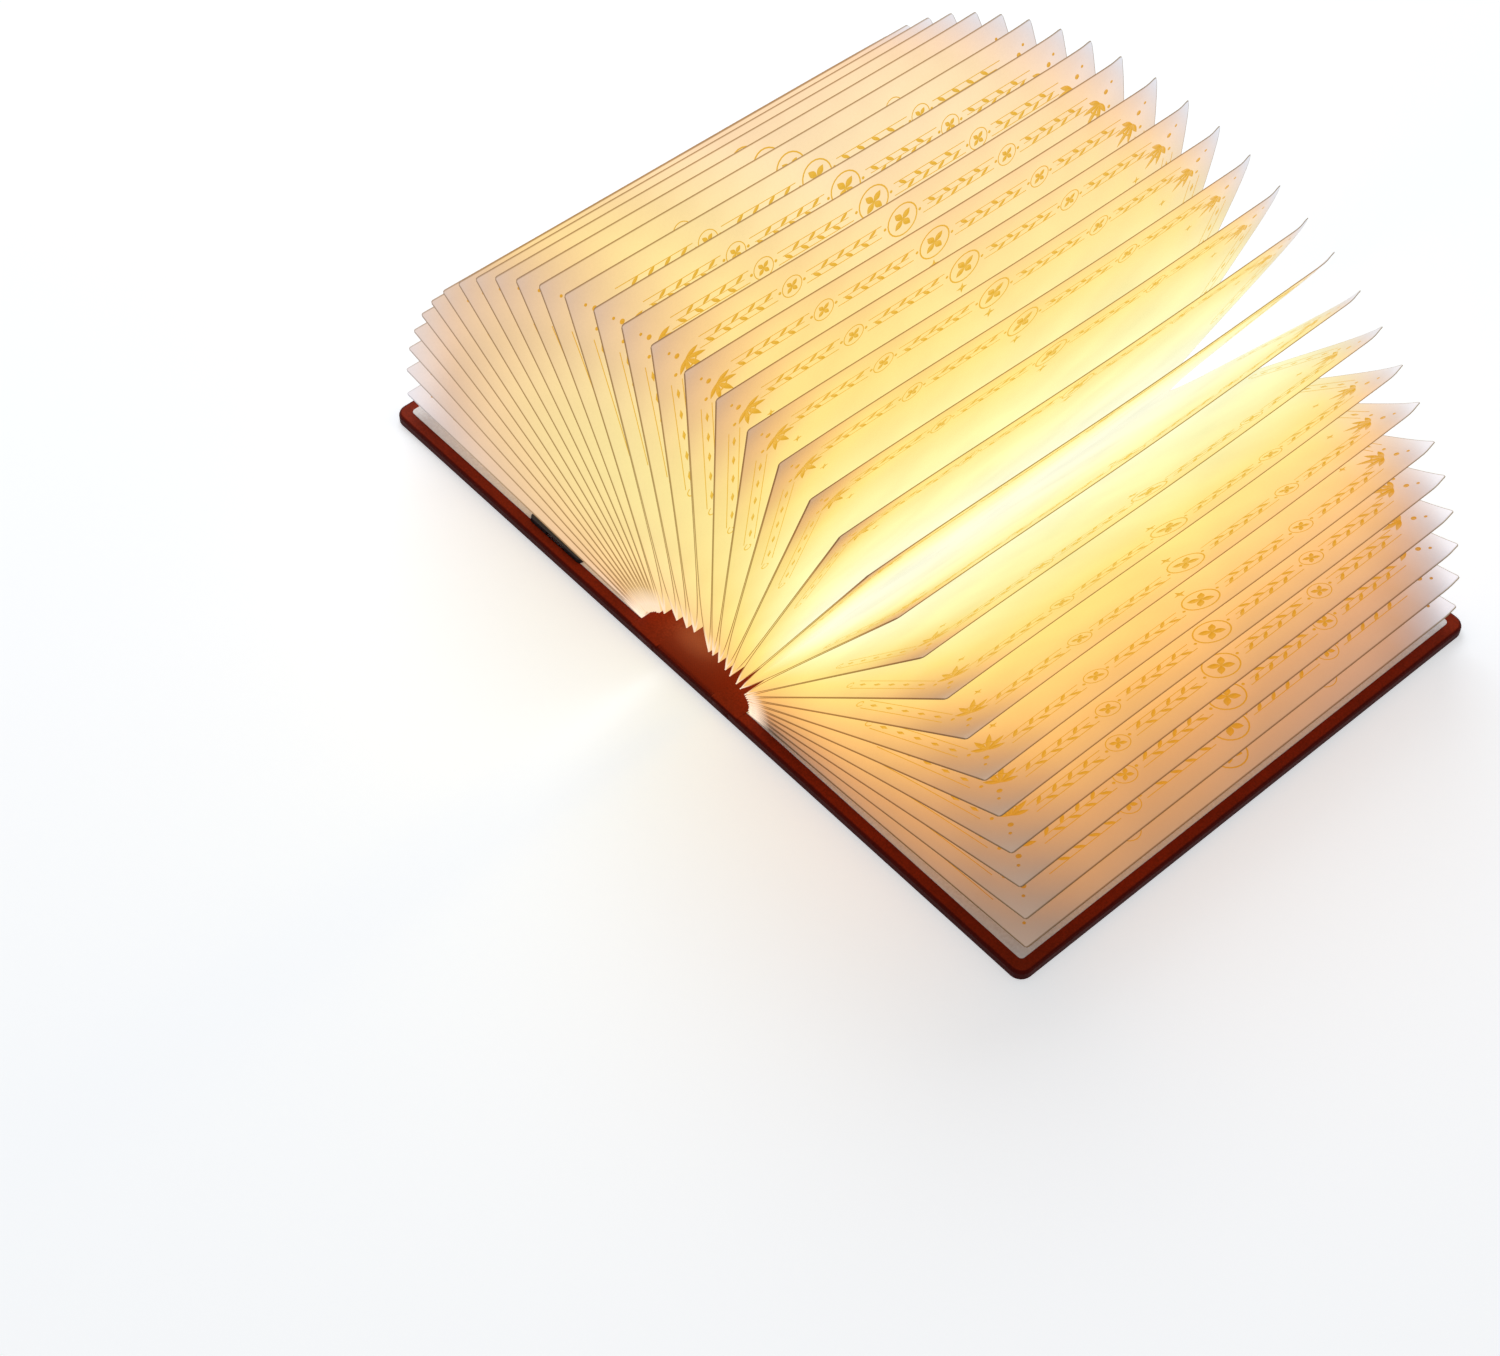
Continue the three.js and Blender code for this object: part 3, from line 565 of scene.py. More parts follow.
def ribbon(path, width):
    """A strip along a path: two points at each station, half the width to either side."""
    path = np.asarray(path, float)
    run = np.gradient(path, axis=0)
    run /= np.linalg.norm(run, axis=1, keepdims=True) + 1e-12
    side = np.stack([-run[:, 1], run[:, 0]], -1) * (np.reshape(width, (-1, 1)) / 2)
    points = np.stack([path + side, path - side], 1).reshape(-1, 2)
    first = np.arange(len(path) - 1) * 2
    return points, np.stack([first, first + 1, first + 3, first + 2], -1).tolist()


def line(start, end, width, step=4.0):
    """A straight ribbon cut into steps short enough to follow a curved surface."""
    start, end = np.array(start, float), np.array(end, float)
    count = max(2, int(np.linalg.norm(end - start) / step) + 1)
    return ribbon(start + (end - start) * np.linspace(0, 1, count)[:, None], width)


def arc(centre, radius, width, start=0, sweep=360, count=28, radius_end=None):
    """A ring, part of one, or a spiral where the radius changes on the way."""
    angle = np.radians(start + np.linspace(0, sweep, count))[:, None]
    reach = np.linspace(radius, radius if radius_end is None else radius_end, count)[:, None]
    return ribbon(np.array(centre) + reach * np.c_[np.cos(angle), np.sin(angle)], width)


def polar(degrees, radius):
    """The point in a direction from the origin, at a distance."""
    return radius * np.array([math.cos(math.radians(degrees)), math.sin(math.radians(degrees))])


def blob(centre, radii):
    """A closed shape whose outline takes each radius in turn at even angles."""
    spokes = [polar(360 * k / len(radii), radius) for k, radius in enumerate(radii)]
    return np.array(centre) + spokes, [list(range(len(radii)))]


def dot(centre, radius):
    """A round dot of ten sides."""
    return blob(centre, [radius] * 10)


def star(centre, outer, inner, points=4):
    """A star with that many points."""
    return blob(centre, [outer, inner] * points)


def sprig(centre, length, width, turn):
    """A pointed leaf: two arcs, width * sin(pi * t) to either side of its middle line."""
    t = np.linspace(0, 1, 9)
    half = width / 2 * np.sin(np.pi * t)
    outline = np.r_[np.c_[t * length, half], np.c_[t * length, -half][-2:0:-1]]
    a = math.radians(turn)
    spin = np.array([[math.cos(a), math.sin(a)], [-math.sin(a), math.cos(a)]])
    return np.array(centre) + outline @ spin, [list(range(len(outline)))[::-1]]


print("a four-pointed star has", len(star((0, 0), 2, 1)[0]), "points")

# %% [markdown]
# ## Putting flat shapes together
# A design is many shapes in one, and its halves mirror each other. Ink and foil have a
# thickness, so the flat design becomes a closed shape before it is laid on a surface.

# %% One shape from many, mirrored and closed


def together(shapes):
    """One list of points and faces from many."""
    points, faces, start = [], [], 0
    for shape_points, shape_faces in shapes:
        points.append(shape_points)
        faces += [[corner + start for corner in face] for face in shape_faces]
        start += len(shape_points)
    return np.concatenate(points), faces


def mirrored(shape, along, up):
    """The shape with its first and second coordinates times along and up, each 1 or -1."""
    points, faces = shape
    flip = along * up < 0
    return points * [along, up], [face[::-1] if flip else face for face in faces]


def closed_shape(shape):
    """Gives a flat shape a thickness: the points twice, a number 0 (under) or 1 (over) for
    each, the faces over, the same faces turned round under, and a wall on each edge that
    belongs to one face only."""
    points, faces = shape
    count = len(points)
    edges = {(face[i - 1], face[i]) for face in faces for i in range(len(face))}
    walls = [[b, a, a + count, b + count] for a, b in sorted(edges) if (b, a) not in edges]
    over = [[corner + count for corner in face] for face in faces]
    under = [face[::-1] for face in faces]
    return np.tile(points, (2, 1)), np.repeat([0, 1], count), over + under + walls


print("a closed dot has", len(closed_shape(dot((0, 0), 1))[2]), "faces")

# %% [markdown]
# ## Print on the leaves
# Each face of a leaf carries a fine border in gold: two rules with a garland of small leaves
# between them, four-petalled flowers in rings on the way, a palmette in each corner, and a
# rule with lozenges along head and tail. The shapes stand 0.04 mm above the paper. They are
# part of the leaf's own mesh, so they fold with it.

# %% Border design, s from the fold and y from the middle


def flower(centre, size):
    """Four petals in a ring."""
    petals = [sprig(centre, size * 0.82, size * 0.46, 45 + 90 * k) for k in range(4)]
    return together(petals + [arc(centre, size * 1.12, size * 0.1, count=24)])


def palmette(centre, size, turn):
    """Five leaves that open like a hand, the middle one longest."""
    lengths = [0.62, 0.86, 1.0, 0.86, 0.62]
    return together([sprig(centre, size * length, size * 0.2, turn + 36 * (k - 2))
                     for k, length in enumerate(lengths)])


def border_half():
    """The half of the border between the middle and the tail, mirrored for the head."""
    parts = [palmette((13, -91), 9.5, 45), dot((10, -94), 1.0), dot((7.2, -96.8), 0.6),
             arc((13, -91), 4.4, 0.7, 10, 70, 10), star((22.5, -80.5), 1.7, 0.6)]
    for s in (7.6, 12.4):
        parts += [line((s, low), (s, low + 32), 0.3) for low in (-85, -41)]
    for low in (-84, -40):
        parts.append(line((10, low + 1), (10, low + 29), 0.26))
        parts += [sprig((10, low + 1.5 + 3.4 * k), 4.4, 1.35, 90 + (34 if k % 2 else -34))
                  for k in range(8)]
    parts += [flower((10, -47), 3.6), dot((10, -41.9), 0.6), dot((10, -52.1), 0.6)]
    parts += [line((20, s), (66, s), 0.3) for s in (-97.6, -93.2)]
    parts += [star((s, -95.4), 2.2, 0.7, 2) for s in (25, 34, 43, 52, 61)]
    parts += [arc((68.5, -95.4), 1.9, 0.4, 200, 320, 16, 0.8), dot((17, -95.4), 0.7)]
    return together(parts)


half = border_half()
border = together([half, mirrored(half, 1, -1), flower((10, 0), 5.6), dot((10, 7.6), 0.6),
                   dot((10, -7.6), 0.6), star((20, 0), 2.4, 0.8)])
print("border:", len(border[0]), "points,", len(border[1]), "faces")

# %% [markdown]
# ## Building the 33 leaves
# The sheet is a grid over the whole pleat, from one inner fold over the outer fold to the
# next. Its normals come from the differences between neighbouring points, and the paper gets
# its thickness by going half of it to either side and closing the rim.

# %% Leaves
PRINT_PROUD, PRINT_SINK = 0.04, 0.03


def across_sheet(along_s, along_y):
    """Unit normals: the cross product of the two directions of a sheet."""
    normal = np.cross(along_s, along_y)
    return normal / np.linalg.norm(normal, axis=-1, keepdims=True)


def build_leaf(leaf):
    """The paper and the print of one leaf as one mesh, which rides on the leaf's body."""
    q, y = np.meshgrid(s_line, y_line, indexing="ij")
    middle = leaf_point(leaf, np.sign(q + 1e-9), np.abs(q), y)
    normal = across_sheet(np.gradient(middle, axis=0), np.gradient(middle, axis=1))
    points = [(middle + turned * normal * PAPER / 2).reshape(-1, 3) for turned in (-1, 1)]
    flat = [np.stack([q, y], -1).reshape(-1, 2)] * 2
    faces = slab_faces(*q.shape)
    paper_faces, start = len(faces), 2 * q.size
    for side in (-1, 1):
        pattern, level, shape = closed_shape(mirrored(border, side, 1))
        s, print_y = np.abs(pattern[:, 0]), pattern[:, 1]
        sides = np.full(len(s), side)
        here = leaf_point(leaf, sides, s, print_y)
        normal = side * across_sheet(leaf_point(leaf, sides, s + 0.5, print_y) - here,
                                     leaf_point(leaf, sides, s, print_y + 0.5) - here)
        height = PAPER / 2 - PRINT_SINK + (PRINT_SINK + PRINT_PROUD) * level
        points.append(here + normal * height[:, None])
        faces += [[corner + start for corner in face] for face in shape]
        flat.append(pattern)
        start += len(pattern)
    flat = np.concatenate(flat)
    name = f"leaf_{leaf + 1:02d}"
    piece = make_piece(f"{name}_paper", np.concatenate(points), faces, [paper, ink])
    mesh = piece.data
    print_faces = len(faces) - paper_faces
    mesh.polygons.foreach_set("material_index", [0] * paper_faces + [1] * print_faces)
    glow_values = glow_at(leaf, np.abs(flat[:, 0]), flat[:, 1])
    mesh.attributes.new("glow", "FLOAT", "POINT").data.foreach_set("value", glow_values)
    light_colours = light_at(leaf, glow_values, np.abs(flat[:, 0]), flat[:, 1])
    mesh.attributes.new("light", "FLOAT_COLOR", "POINT").data.foreach_set(
        "color", light_colours.astype(np.float32).ravel())
    corners = np.zeros(len(mesh.loops), np.int32)
    mesh.loops.foreach_get("vertex_index", corners)
    mesh.uv_layers.new(name="leaf_mm").data.foreach_set("uv", flat[corners].ravel())
    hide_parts(name)
    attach(piece, name)
    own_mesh(piece)
    return piece


leaves = [build_leaf(leaf) for leaf in range(LEAF_COUNT)]
print("leaves:", len(leaves), "faces each:", len(leaves[0].data.polygons))

# %% [markdown]
# ## Leatherette of the case
# The case is covered in burgundy leatherette: paper coated with resin and pressed with a fine
# pebble grain, turned in over the boards. Inside, the turned-in rim and the lining are painted a
# warmer rust, which is the warm light of the leaves painted into their colour. The colour goes
# by height, because outside, edge and turn-in lie at different heights: burgundy under the case,
# a painted shade of nearly black-brown on the edge, rust on top. The painted shade lightens over
# the rounded top edge. The grain is pressed 0.5 mm wide and drawn at 0.8 mm.

# %% Leatherette material
GRAIN_PER_MM = 1 / 0.8
COVER_TOP = 4.2
BURGUNDY = "#92494c"
# Painted shade by height: burgundy underneath, nearly black-brown up the edge, lightening over the
# rounded top edge into the painted rust.
PAINTED_SHADE_BY_HEIGHT = [(0.0, BURGUNDY), (0.012, "#6a2a26"), (0.03, "#480903"), (0.5, "#4c0a02"),
             (0.8, "#500b03"), (0.95, "#560e05"), (0.988, "#7a210c")]
# Painted light: the burgundy leatherette in the warm light of the leaves, brick red where it spills
# over the spine.
PAINTED_WARM_RUST = [(0.0, "#8c2a10"), (0.4, "#963a24"), (1.0, "#b45e46")]


def pebbles(tree, millimetres):
    """Height of the pressed grain, from smooth Voronoi cells."""
    return add(tree, "TexVoronoi", {"Vector": millimetres, "Scale": GRAIN_PER_MM,
                                    "Smoothness": 0.6}, feature="SMOOTH_F1")


def painted_warm_rust(tree, millimetres):
    """Painted light: rust brown, the warm light of the leaves on the leatherette, that warms to
    brick red over the spine, where light spills from the leaves: share = (1 - smooth |x + 6| / 21)
    * (1 - smooth (|y| - 94) / 13.5)."""
    axes = add(tree, "SeparateXYZ", {"Vector": millimetres}).node.outputs
    beside = calc(tree, "ABSOLUTE", calc(tree, "ADD", axes["X"], 6))
    near_x = remap(tree, beside, (0, 21), (1, 0), interpolation_type="SMOOTHSTEP")
    near_y = remap(tree, calc(tree, "ABSOLUTE", axes["Y"]), (94, 107.5), (1, 0),
                   interpolation_type="SMOOTHSTEP")
    return ramp(tree, calc(tree, "MULTIPLY", near_x, near_y), PAINTED_WARM_RUST)


def leatherette(name, stops=()):
    """Pebble grain over the painted warm rust. With stops, a ramp of colour with the share of the
    height of the covers takes over below the flat top, such as the painted shade of the edges."""
    material, tree = new_material(name)
    millimetres = in_millimetres(tree)
    blotch, fine = (noise(tree, millimetres, per_mm, 3.0) for per_mm in (0.05, 2.2))
    grain = pebbles(tree, millimetres)
    colour = painted_warm_rust(tree, millimetres)
    if stops:
        height = add(tree, "SeparateXYZ", {"Vector": millimetres}, out="Z")
        share = calc(tree, "DIVIDE", height, COVER_TOP)
        on_top = remap(tree, share, (0.985, 0.998), (0, 1))
        colour = mixed(tree, on_top, ramp(tree, share, stops), colour)
    tone = remap(tree, blotch, (0.3, 0.7), (0.86, 1.12))
    pit = remap(tree, grain, (0.2, 0.75), (1.1, 0.86))
    relief = calc(tree, "SUBTRACT", grain, calc(tree, "MULTIPLY", fine, 0.35))
    principled(tree, Base_Color=scaled(tree, colour, calc(tree, "MULTIPLY", tone, pit)),
               Roughness=remap(tree, fine, (0, 1), (0.42, 0.6)), Specular_IOR_Level=0.05,
               Normal=bumps(tree, relief, 0.45, 0.12, invert=True))
    return material


def dress(material, *names):
    """Puts one material on CAD nodes, whose meshes stay as they are."""
    for name in names:
        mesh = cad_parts[name].data
        mesh.materials.clear()
        mesh.materials.append(material)


cover_leatherette = leatherette("leatherette_resin_coated_covers_painted_shade_and_light", PAINTED_SHADE_BY_HEIGHT)
turned_in = leatherette("leatherette_resin_coated_turned_in_painted_light")
outside = leatherette("leatherette_resin_coated_outside", [(0.0, BURGUNDY), (1.0, BURGUNDY)])
dress(cover_leatherette, "back_cover_wrap", "front_cover_wrap", "spine_wrap")
print("materials so far:", len(bpy.data.materials))

# %% [markdown]
# ## The inner hinges
# Between spine and covers the lining dips a little over the groove where the book folds. The
# CAD solids part there at the two hinge lines, so the strip over each groove is made here: one
# section carried along the book. Its ends are rounded over as the edges of the covers are, and
# its underside is the burgundy outside.

# %% Profile carried along the book
STRIP_END = 107.5
STRIP_FACE = 106.75
OUTSIDE_BELOW = 0.6
EDGE_ROUND = 1.05
STRIP_TOP = [(27.45, 4.24), (26.0, 4.26), (24.4, 4.26), (23.0, 4.2), (21.4, 4.12), (19.6, 4.08),
             (17.8, 4.12), (16.4, 4.2), (15.1, 4.26), (14.2, 4.27)]
STRIP_MID, STRIP_FOOT = 2.0, 0.52
STRIP_UNDER = [(14.2, 4.22), (15.42, 4.21), (15.5, STRIP_FOOT), (23.15, STRIP_FOOT),
               (23.3, 4.21), (27.45, 4.21)]


def resampled(outline, spacing):
    """The closed outline with points at most one spacing apart, at even steps on each side."""
    outline = np.asarray(outline, float)
    pieces = []
    for here, there in zip(outline, np.roll(outline, -1, 0)):
        count = max(1, int(np.ceil(np.linalg.norm(there - here) / spacing)))
        pieces.append(here + (there - here) * (np.arange(count) / count)[:, None])
    return np.concatenate(pieces)


def carried(section, stations, drop, foot):
    """The section (x, z) at each station y, with a cap on each end. Above the height mid, z
    loses drop * (z - mid) / (top - mid); below it, z is stretched so that its lowest point
    lies at foot."""
    x, z = section.T
    above = np.clip((z - STRIP_MID) / (z.max() - STRIP_MID), 0, 1)
    below = np.clip((STRIP_MID - z) / (STRIP_MID - z.min()), 0, 1)
    z = z - above * drop[:, None] + below * (foot[:, None] - z.min())
    points = np.stack([*np.broadcast_arrays(x, stations[:, None], z)], -1)
    return points.reshape(-1, 3), tube_faces(*z.shape)


def facing_out(piece):
    """Turns every face outwards, by bmesh's own count of inside and outside."""
    work = bmesh.new()
    work.from_mesh(piece.data)
    bmesh.ops.recalc_face_normals(work, faces=work.faces)
    work.to_mesh(piece.data)
    work.free()
    return piece


strip_section = resampled(STRIP_TOP + STRIP_UNDER, 0.7)
turn = np.radians([0, 22, 45, 68, 90])
end_y = np.r_[106.42, STRIP_END - EDGE_ROUND * (1 - np.sin(turn))]
end_drop = np.r_[0, EDGE_ROUND * (1 - np.cos(turn))]
end_foot = np.r_[STRIP_FOOT, 0.02, 0.02, 0.02, 0.1, 0.3]
middle_y = np.linspace(-104, 104, 27)
stations = np.r_[-end_y[::-1], middle_y, end_y]
drop = np.r_[end_drop[::-1], 0 * middle_y, end_drop]
foot = np.r_[end_foot[::-1], 0 * middle_y + STRIP_FOOT, end_foot]
for side, name in ((1, "back_inner_hinge"), (-1, "front_inner_hinge")):
    points, faces = carried(strip_section * [side, 1], stations, drop, foot)
    strip = facing_out(make_piece(name, points, faces, [turned_in, cover_leatherette, outside]))
    # The ends take the painted shade by height, the top the painted warm rust, the underside plain
    # burgundy.
    for face in strip.data.polygons:
        at_end = abs(face.center.y) > STRIP_FACE * MM
        below = face.center.z < OUTSIDE_BELOW * MM
        face.material_index = 1 if at_end else 2 if below else 0
    if side > 0:
        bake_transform(strip)
    else:
        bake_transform(strip)
print("section points on each inner hinge:", len(strip_section))

# %% [markdown]
# ## The cover of the charge port
# A flap of soft rubber closes the notch in the rim over the port. Rubber is squeezed in by its
# neighbours, so no gap shows on the real one. The CAD solid has to keep clear of the cover, so
# the flap is made again here, as the rim's own section carried along the edge until it all but
# touches both sides of the notch.

# %% Flap over the charge port
FLAP_GROWS = 0.09
FLAP_LIP = 0.25
RIM_ROUND = 1.1
low, high = (np.array(corner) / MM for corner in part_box("port_cover"))
turn = np.radians([0, 45, 90])
rim = np.stack([low[1] + RIM_ROUND * (1 - np.cos(turn)),
                high[2] - RIM_ROUND * (1 - np.sin(turn))], -1)
section = np.array([(low[1], low[2]), *rim, (high[1] - FLAP_LIP, high[2]),
                    (high[1], high[2] - FLAP_LIP), (high[1], low[2])])
points = [(x, *corner) for x in (low[0] - FLAP_GROWS, high[0] + FLAP_GROWS) for corner in section]
# The flap takes the same painted shade by height and painted warm rust on top as the covers.
rubber = leatherette("silicone_rubber_moulded_with_grain_painted_shade_and_light", PAINTED_SHADE_BY_HEIGHT)
flap = facing_out(make_piece("port_cover_flap", points, tube_faces(2, len(section)), [rubber],
                             smooth=False))
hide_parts("port_cover")
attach(flap, "front_cover")
print("flap over the port:", np.round(high - low, 1), "mm")

# %% [markdown]
# ## Paper, board, plastic and metal
# The other pieces keep their CAD shape and get the finish of the real material. Wove paper
# shows a fine fibre, moulded plastic a spark-eroded texture, and metals their drawing or
# plating. Each pattern is measured in millimetres on Object coordinates.

# %% Finishes for the smaller pieces


def finish(name, stops, per_mm, rough, relief, stretch=(1, 1, 1), **sockets):
    """Noise with so many spots per mm picks a colour on the ramp and sets roughness and
    relief, in mm. Other sockets are passed by name."""
    material, tree = new_material(name)
    place = add(tree, "TexCoord", out="Object")
    millimetres = add(tree, "VectorMath", {0: place, 1: [part / MM for part in stretch]},
                      operation="MULTIPLY")
    spots = noise(tree, millimetres, per_mm, 4.0)
    principled(tree, Base_Color=ramp(tree, spots, stops),
               Roughness=remap(tree, spots, (0, 1), rough),
               Normal=bumps(tree, spots, 0.5, relief), **sockets)
    return material


dress(finish("endpaper_uncoated_wove", [(0.3, "#ece8e4"), (0.7, "#faf8f6")], 0.9, (0.75, 0.9),
             0.03), "back_endpaper", "front_endpaper")
dress(finish("grey_board_recycled", [(0.3, "#77726a"), (0.5, "#8f8a82"), (0.7, "#a29c90")], 0.6,
             (0.85, 0.95), 0.05), "back_cover_board", "front_cover_board", "spine_board")
dress(finish("abs_white_moulded", [(0.35, "#dedcd6"), (0.65, "#ecebe6")], 2.5, (0.4, 0.5), 0.01),
      "lamp_tray", "head_end_cap", "tail_end_cap")
dress(finish("abs_black_moulded", [(0.35, "#121113"), (0.65, "#242326")], 2.5, (0.38, 0.5), 0.02),
      "power_case", "power_lid")
dress(finish("steel_nickel_plated_drawn", [(0.3, "#b4b6b8"), (0.7, "#d6d8da")], 1.2, (0.22, 0.36),
             0.004, stretch=(1, 0.1, 1), Metallic=1.0), "usb_c_port")
dress(finish("neodymium_nickel_plated", [(0.3, "#a9aaac"), (0.7, "#c4c5c7")], 0.8, (0.2, 0.3),
             0.004, Metallic=1.0), "back_magnet", "front_magnet", "switch_magnet")
dress(finish("cell_foil_aluminium_laminate", [(0.3, "#a8abb0"), (0.7, "#cdd0d4")], 0.35,
             (0.28, 0.42), 0.05, stretch=(1, 0.3, 1), Metallic=0.8), "lamp_battery")
dress(finish("epoxy_chip_resin_moulded", [(0.3, "#0f0f11"), (0.7, "#1d1d20")], 3.0, (0.45, 0.6),
             0.01), "hall_sensor")
lead_sleeve = finish("pvc_lead_sleeve_extruded", [(0.3, "#242426"), (0.7, "#343438")], 1.5,
                     (0.5, 0.6), 0.01, stretch=(0.2, 1, 1))
dress(lead_sleeve, "power_lead", "lamp_lead")
print("materials so far:", len(bpy.data.materials))

# %% [markdown]
# ## Lining of the spine
# The cloth is glued over the spine and over the turned-in skin, so it has no step at its
# border. The CAD lining is a plain slab with square sides. It is replaced by a sheet that thins
# out to nothing at the edge of the spine, with a fine plain weave.

# %% Lining shape and woven book cloth
LINING_X, LINING_Y = 15.35, 106.4
LINING_FOOT, LINING_EDGE, LINING_TOP = 4.205, 4.235, 4.5
LINING_FADE = 4
THREAD = 0.5


def lining_sheet():
    """Upper face z = edge + (top - edge) * smooth(distance to the border / 4), where
    smooth(t) = t * t * (3 - 2 * t), over a flat lower face, with a wall all round."""
    x, y = np.meshgrid(np.linspace(-LINING_X, LINING_X, 33), np.linspace(-LINING_Y, LINING_Y, 161),
                       indexing="ij")
    t = np.clip(np.minimum(LINING_X - np.abs(x), LINING_Y - np.abs(y)) / LINING_FADE, 0, 1)
    z = LINING_EDGE + (LINING_TOP - LINING_EDGE) * t * t * (3 - 2 * t)
    over = np.stack([x, y, z], -1).reshape(-1, 3)
    return np.concatenate([over, over * [1, 1, 0] + [0, 0, LINING_FOOT]]), slab_faces(*x.shape)


cloth, tree = new_material("book_cloth_plain_weave_painted_light")
millimetres = in_millimetres(tree)
turns = scaled(tree, millimetres, math.pi / THREAD)
axes = add(tree, "SeparateXYZ", {"Vector": turns}).node.outputs
warp, weft = (calc(tree, "SINE", axes[axis]) for axis in "XY")
weave = calc(tree, "MULTIPLY", warp, weft)
tint = calc(tree, "ADD", calc(tree, "MULTIPLY", weave, 0.12),
            noise(tree, millimetres, 0.06, 3.0))
tone = remap(tree, tint, (0.2, 0.8), (0.84, 1.02))
# The cloth's rust is the warm light of the leaves painted in, as on the turn-in; the weave is its
# own.
principled(tree, Base_Color=scaled(tree, painted_warm_rust(tree, millimetres), tone), Roughness=0.62,
           Normal=bumps(tree, weave, 0.3, 0.05), Specular_IOR_Level=0.05)
lining = facing_out(make_piece("spine_lining_cloth", *lining_sheet(), [cloth]))
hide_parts("spine_lining")
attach(lining, "spine")
print("weave repeats each", THREAD * 2, "mm")

# %% [markdown]
# ## Circuit boards and lens
# The charge board in the pack is green solder mask over glass cloth with thin traces. The lamp
# board in the tray is white, with a chip each 10 mm that is part of its solid. The opal lens
# over them spreads their light, and is a little brighter over each chip.

# %% Circuit board and lens materials
CHIP_PITCH = 10


def circuit_board(name, mask, trace, pitch):
    """Traces are a brick pattern of thin lines: rows one pitch apart, cut at uneven places."""
    material, tree = new_material(name)
    millimetres = in_millimetres(tree)
    bricks = add(tree, "TexBrick", {
        "Vector": millimetres, "Color1": linear(mask), "Color2": linear(mask),
        "Mortar": linear(trace), "Scale": 1.0, "Mortar Size": 0.12,
        "Brick Width": pitch * 3, "Row Height": pitch}, out="Color")
    tone = remap(tree, noise(tree, millimetres, 1.5), (0, 1), (0.9, 1.1))
    principled(tree, Base_Color=scaled(tree, bricks, tone), Roughness=0.38, Coat_Weight=0.3)
    return material


dress(circuit_board("solder_mask_green_on_glass_cloth", "#1f5438", "#39785a", 1.6),
      "charge_board")
dress(circuit_board("solder_mask_white_on_aluminium", "#e6e4da", "#cfccc0", 2.4), "lamp_board")

lens, tree = new_material("polycarbonate_opal_extruded")
along = add(tree, "SeparateXYZ", {"Vector": in_millimetres(tree)}, out="Y")
beat = calc(tree, "SINE", calc(tree, "MULTIPLY", along, 2 * math.pi / CHIP_PITCH))
principled(tree, Base_Color=linear("#fff4d6"), Roughness=0.4, Emission_Color=linear("#ffe9b0"),
           Emission_Strength=remap(tree, beat, (-1, 1), (2.0, 2.6)))
dress(lens, "lamp_lens")
print("boards and lens ready")

# %% [markdown]
# ## The lead across the groove
# The flat two-wire lead leaves the front cover through the lining, crosses the groove and runs
# on to the tail end cap. Its stretch over the groove bends when the book closes, so it is one
# carried section here, between the two stiff stretches of the CAD model.

# %% Lead over the front groove
LEAD_Y = -84.0
LEAD_WIDE, LEAD_THICK = 2.4, 0.5
LEAD_PATH = np.array([(-23.5, 3.95), (-22.9, 4.0), (-22.2, 4.2), (-21.2, 4.3), (-20.0, 4.28),
                      (-18.6, 4.3), (-17.2, 4.42), (-16.2, 4.6), (-14.9, 4.75)])
fine = np.linspace(0, len(LEAD_PATH) - 1, 41)
route = np.stack([np.interp(fine, np.arange(len(LEAD_PATH)), row) for row in LEAD_PATH.T], -1)
route = (np.roll(route, 1, 0) + route + np.roll(route, -1, 0)) / 3
route[[0, -1]] = LEAD_PATH[[0, -1]]
run = np.gradient(route, axis=0)
up = np.stack([-run[:, 1], run[:, 0]], -1) / np.linalg.norm(run, axis=1, keepdims=True)
turn = np.linspace(0, 2 * np.pi, 20, endpoint=False)
wire = np.where(np.abs(np.cos(turn)) > 0.1, np.sign(np.cos(turn)), 0)
across_lead = wire * (LEAD_WIDE - LEAD_THICK) / 2 + np.cos(turn) * LEAD_THICK / 2
ring = route[:, None] + up[:, None] * (np.sin(turn) * LEAD_THICK / 2)[:, None]
points = np.insert(ring, 1, LEAD_Y + across_lead, axis=-1)
lead = facing_out(make_piece("lead_over_groove", points.reshape(-1, 3), tube_faces(*ring.shape[:2]),
                             [lead_sleeve]))
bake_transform(lead)
print("lead stretch in mm:", round(float(np.linalg.norm(np.diff(route, axis=0), axis=1).sum()), 1))

# %% [markdown]
# ## Gold foil on the outside
# The outside of the real case is blocked with gold foil: a heated die presses the foil into
# the leatherette. The foil is a metal, slightly dulled by the grain under it, and stands
# 0.03 mm proud. First come its material and the function that lays a flat shape on the case.

# %% Foil material
FOIL_PROUD, FOIL_SINK = 0.03, 0.04
GOLD = [(0.3, "#c9b878"), (0.5, "#e6d698"), (0.7, "#f2e2b0")]
foil, tree = new_material("gold_foil_hot_blocked")
millimetres = in_millimetres(tree)
rub = noise(tree, millimetres, 0.3, 5.0)
principled(tree, Base_Color=ramp(tree, rub, GOLD), Metallic=0.55, Roughness=0.42,
           Normal=bumps(tree, pebbles(tree, millimetres), 0.3, 0.06, invert=True))


def lay_foil(name, shape, centre_x, body):
    """The shape under the case at z = 0, mirrored so that it reads right from outside."""
    points, level, faces = closed_shape(mirrored(shape, -1, 1))
    depth = np.where(level > 0, FOIL_PROUD, -FOIL_SINK)
    piece = facing_out(make_piece(name, np.c_[points[:, 0] + centre_x, points[:, 1], -depth],
                                  faces, [foil], smooth=False))
    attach(piece, body)


print("foil stands", FOIL_PROUD, "mm proud")

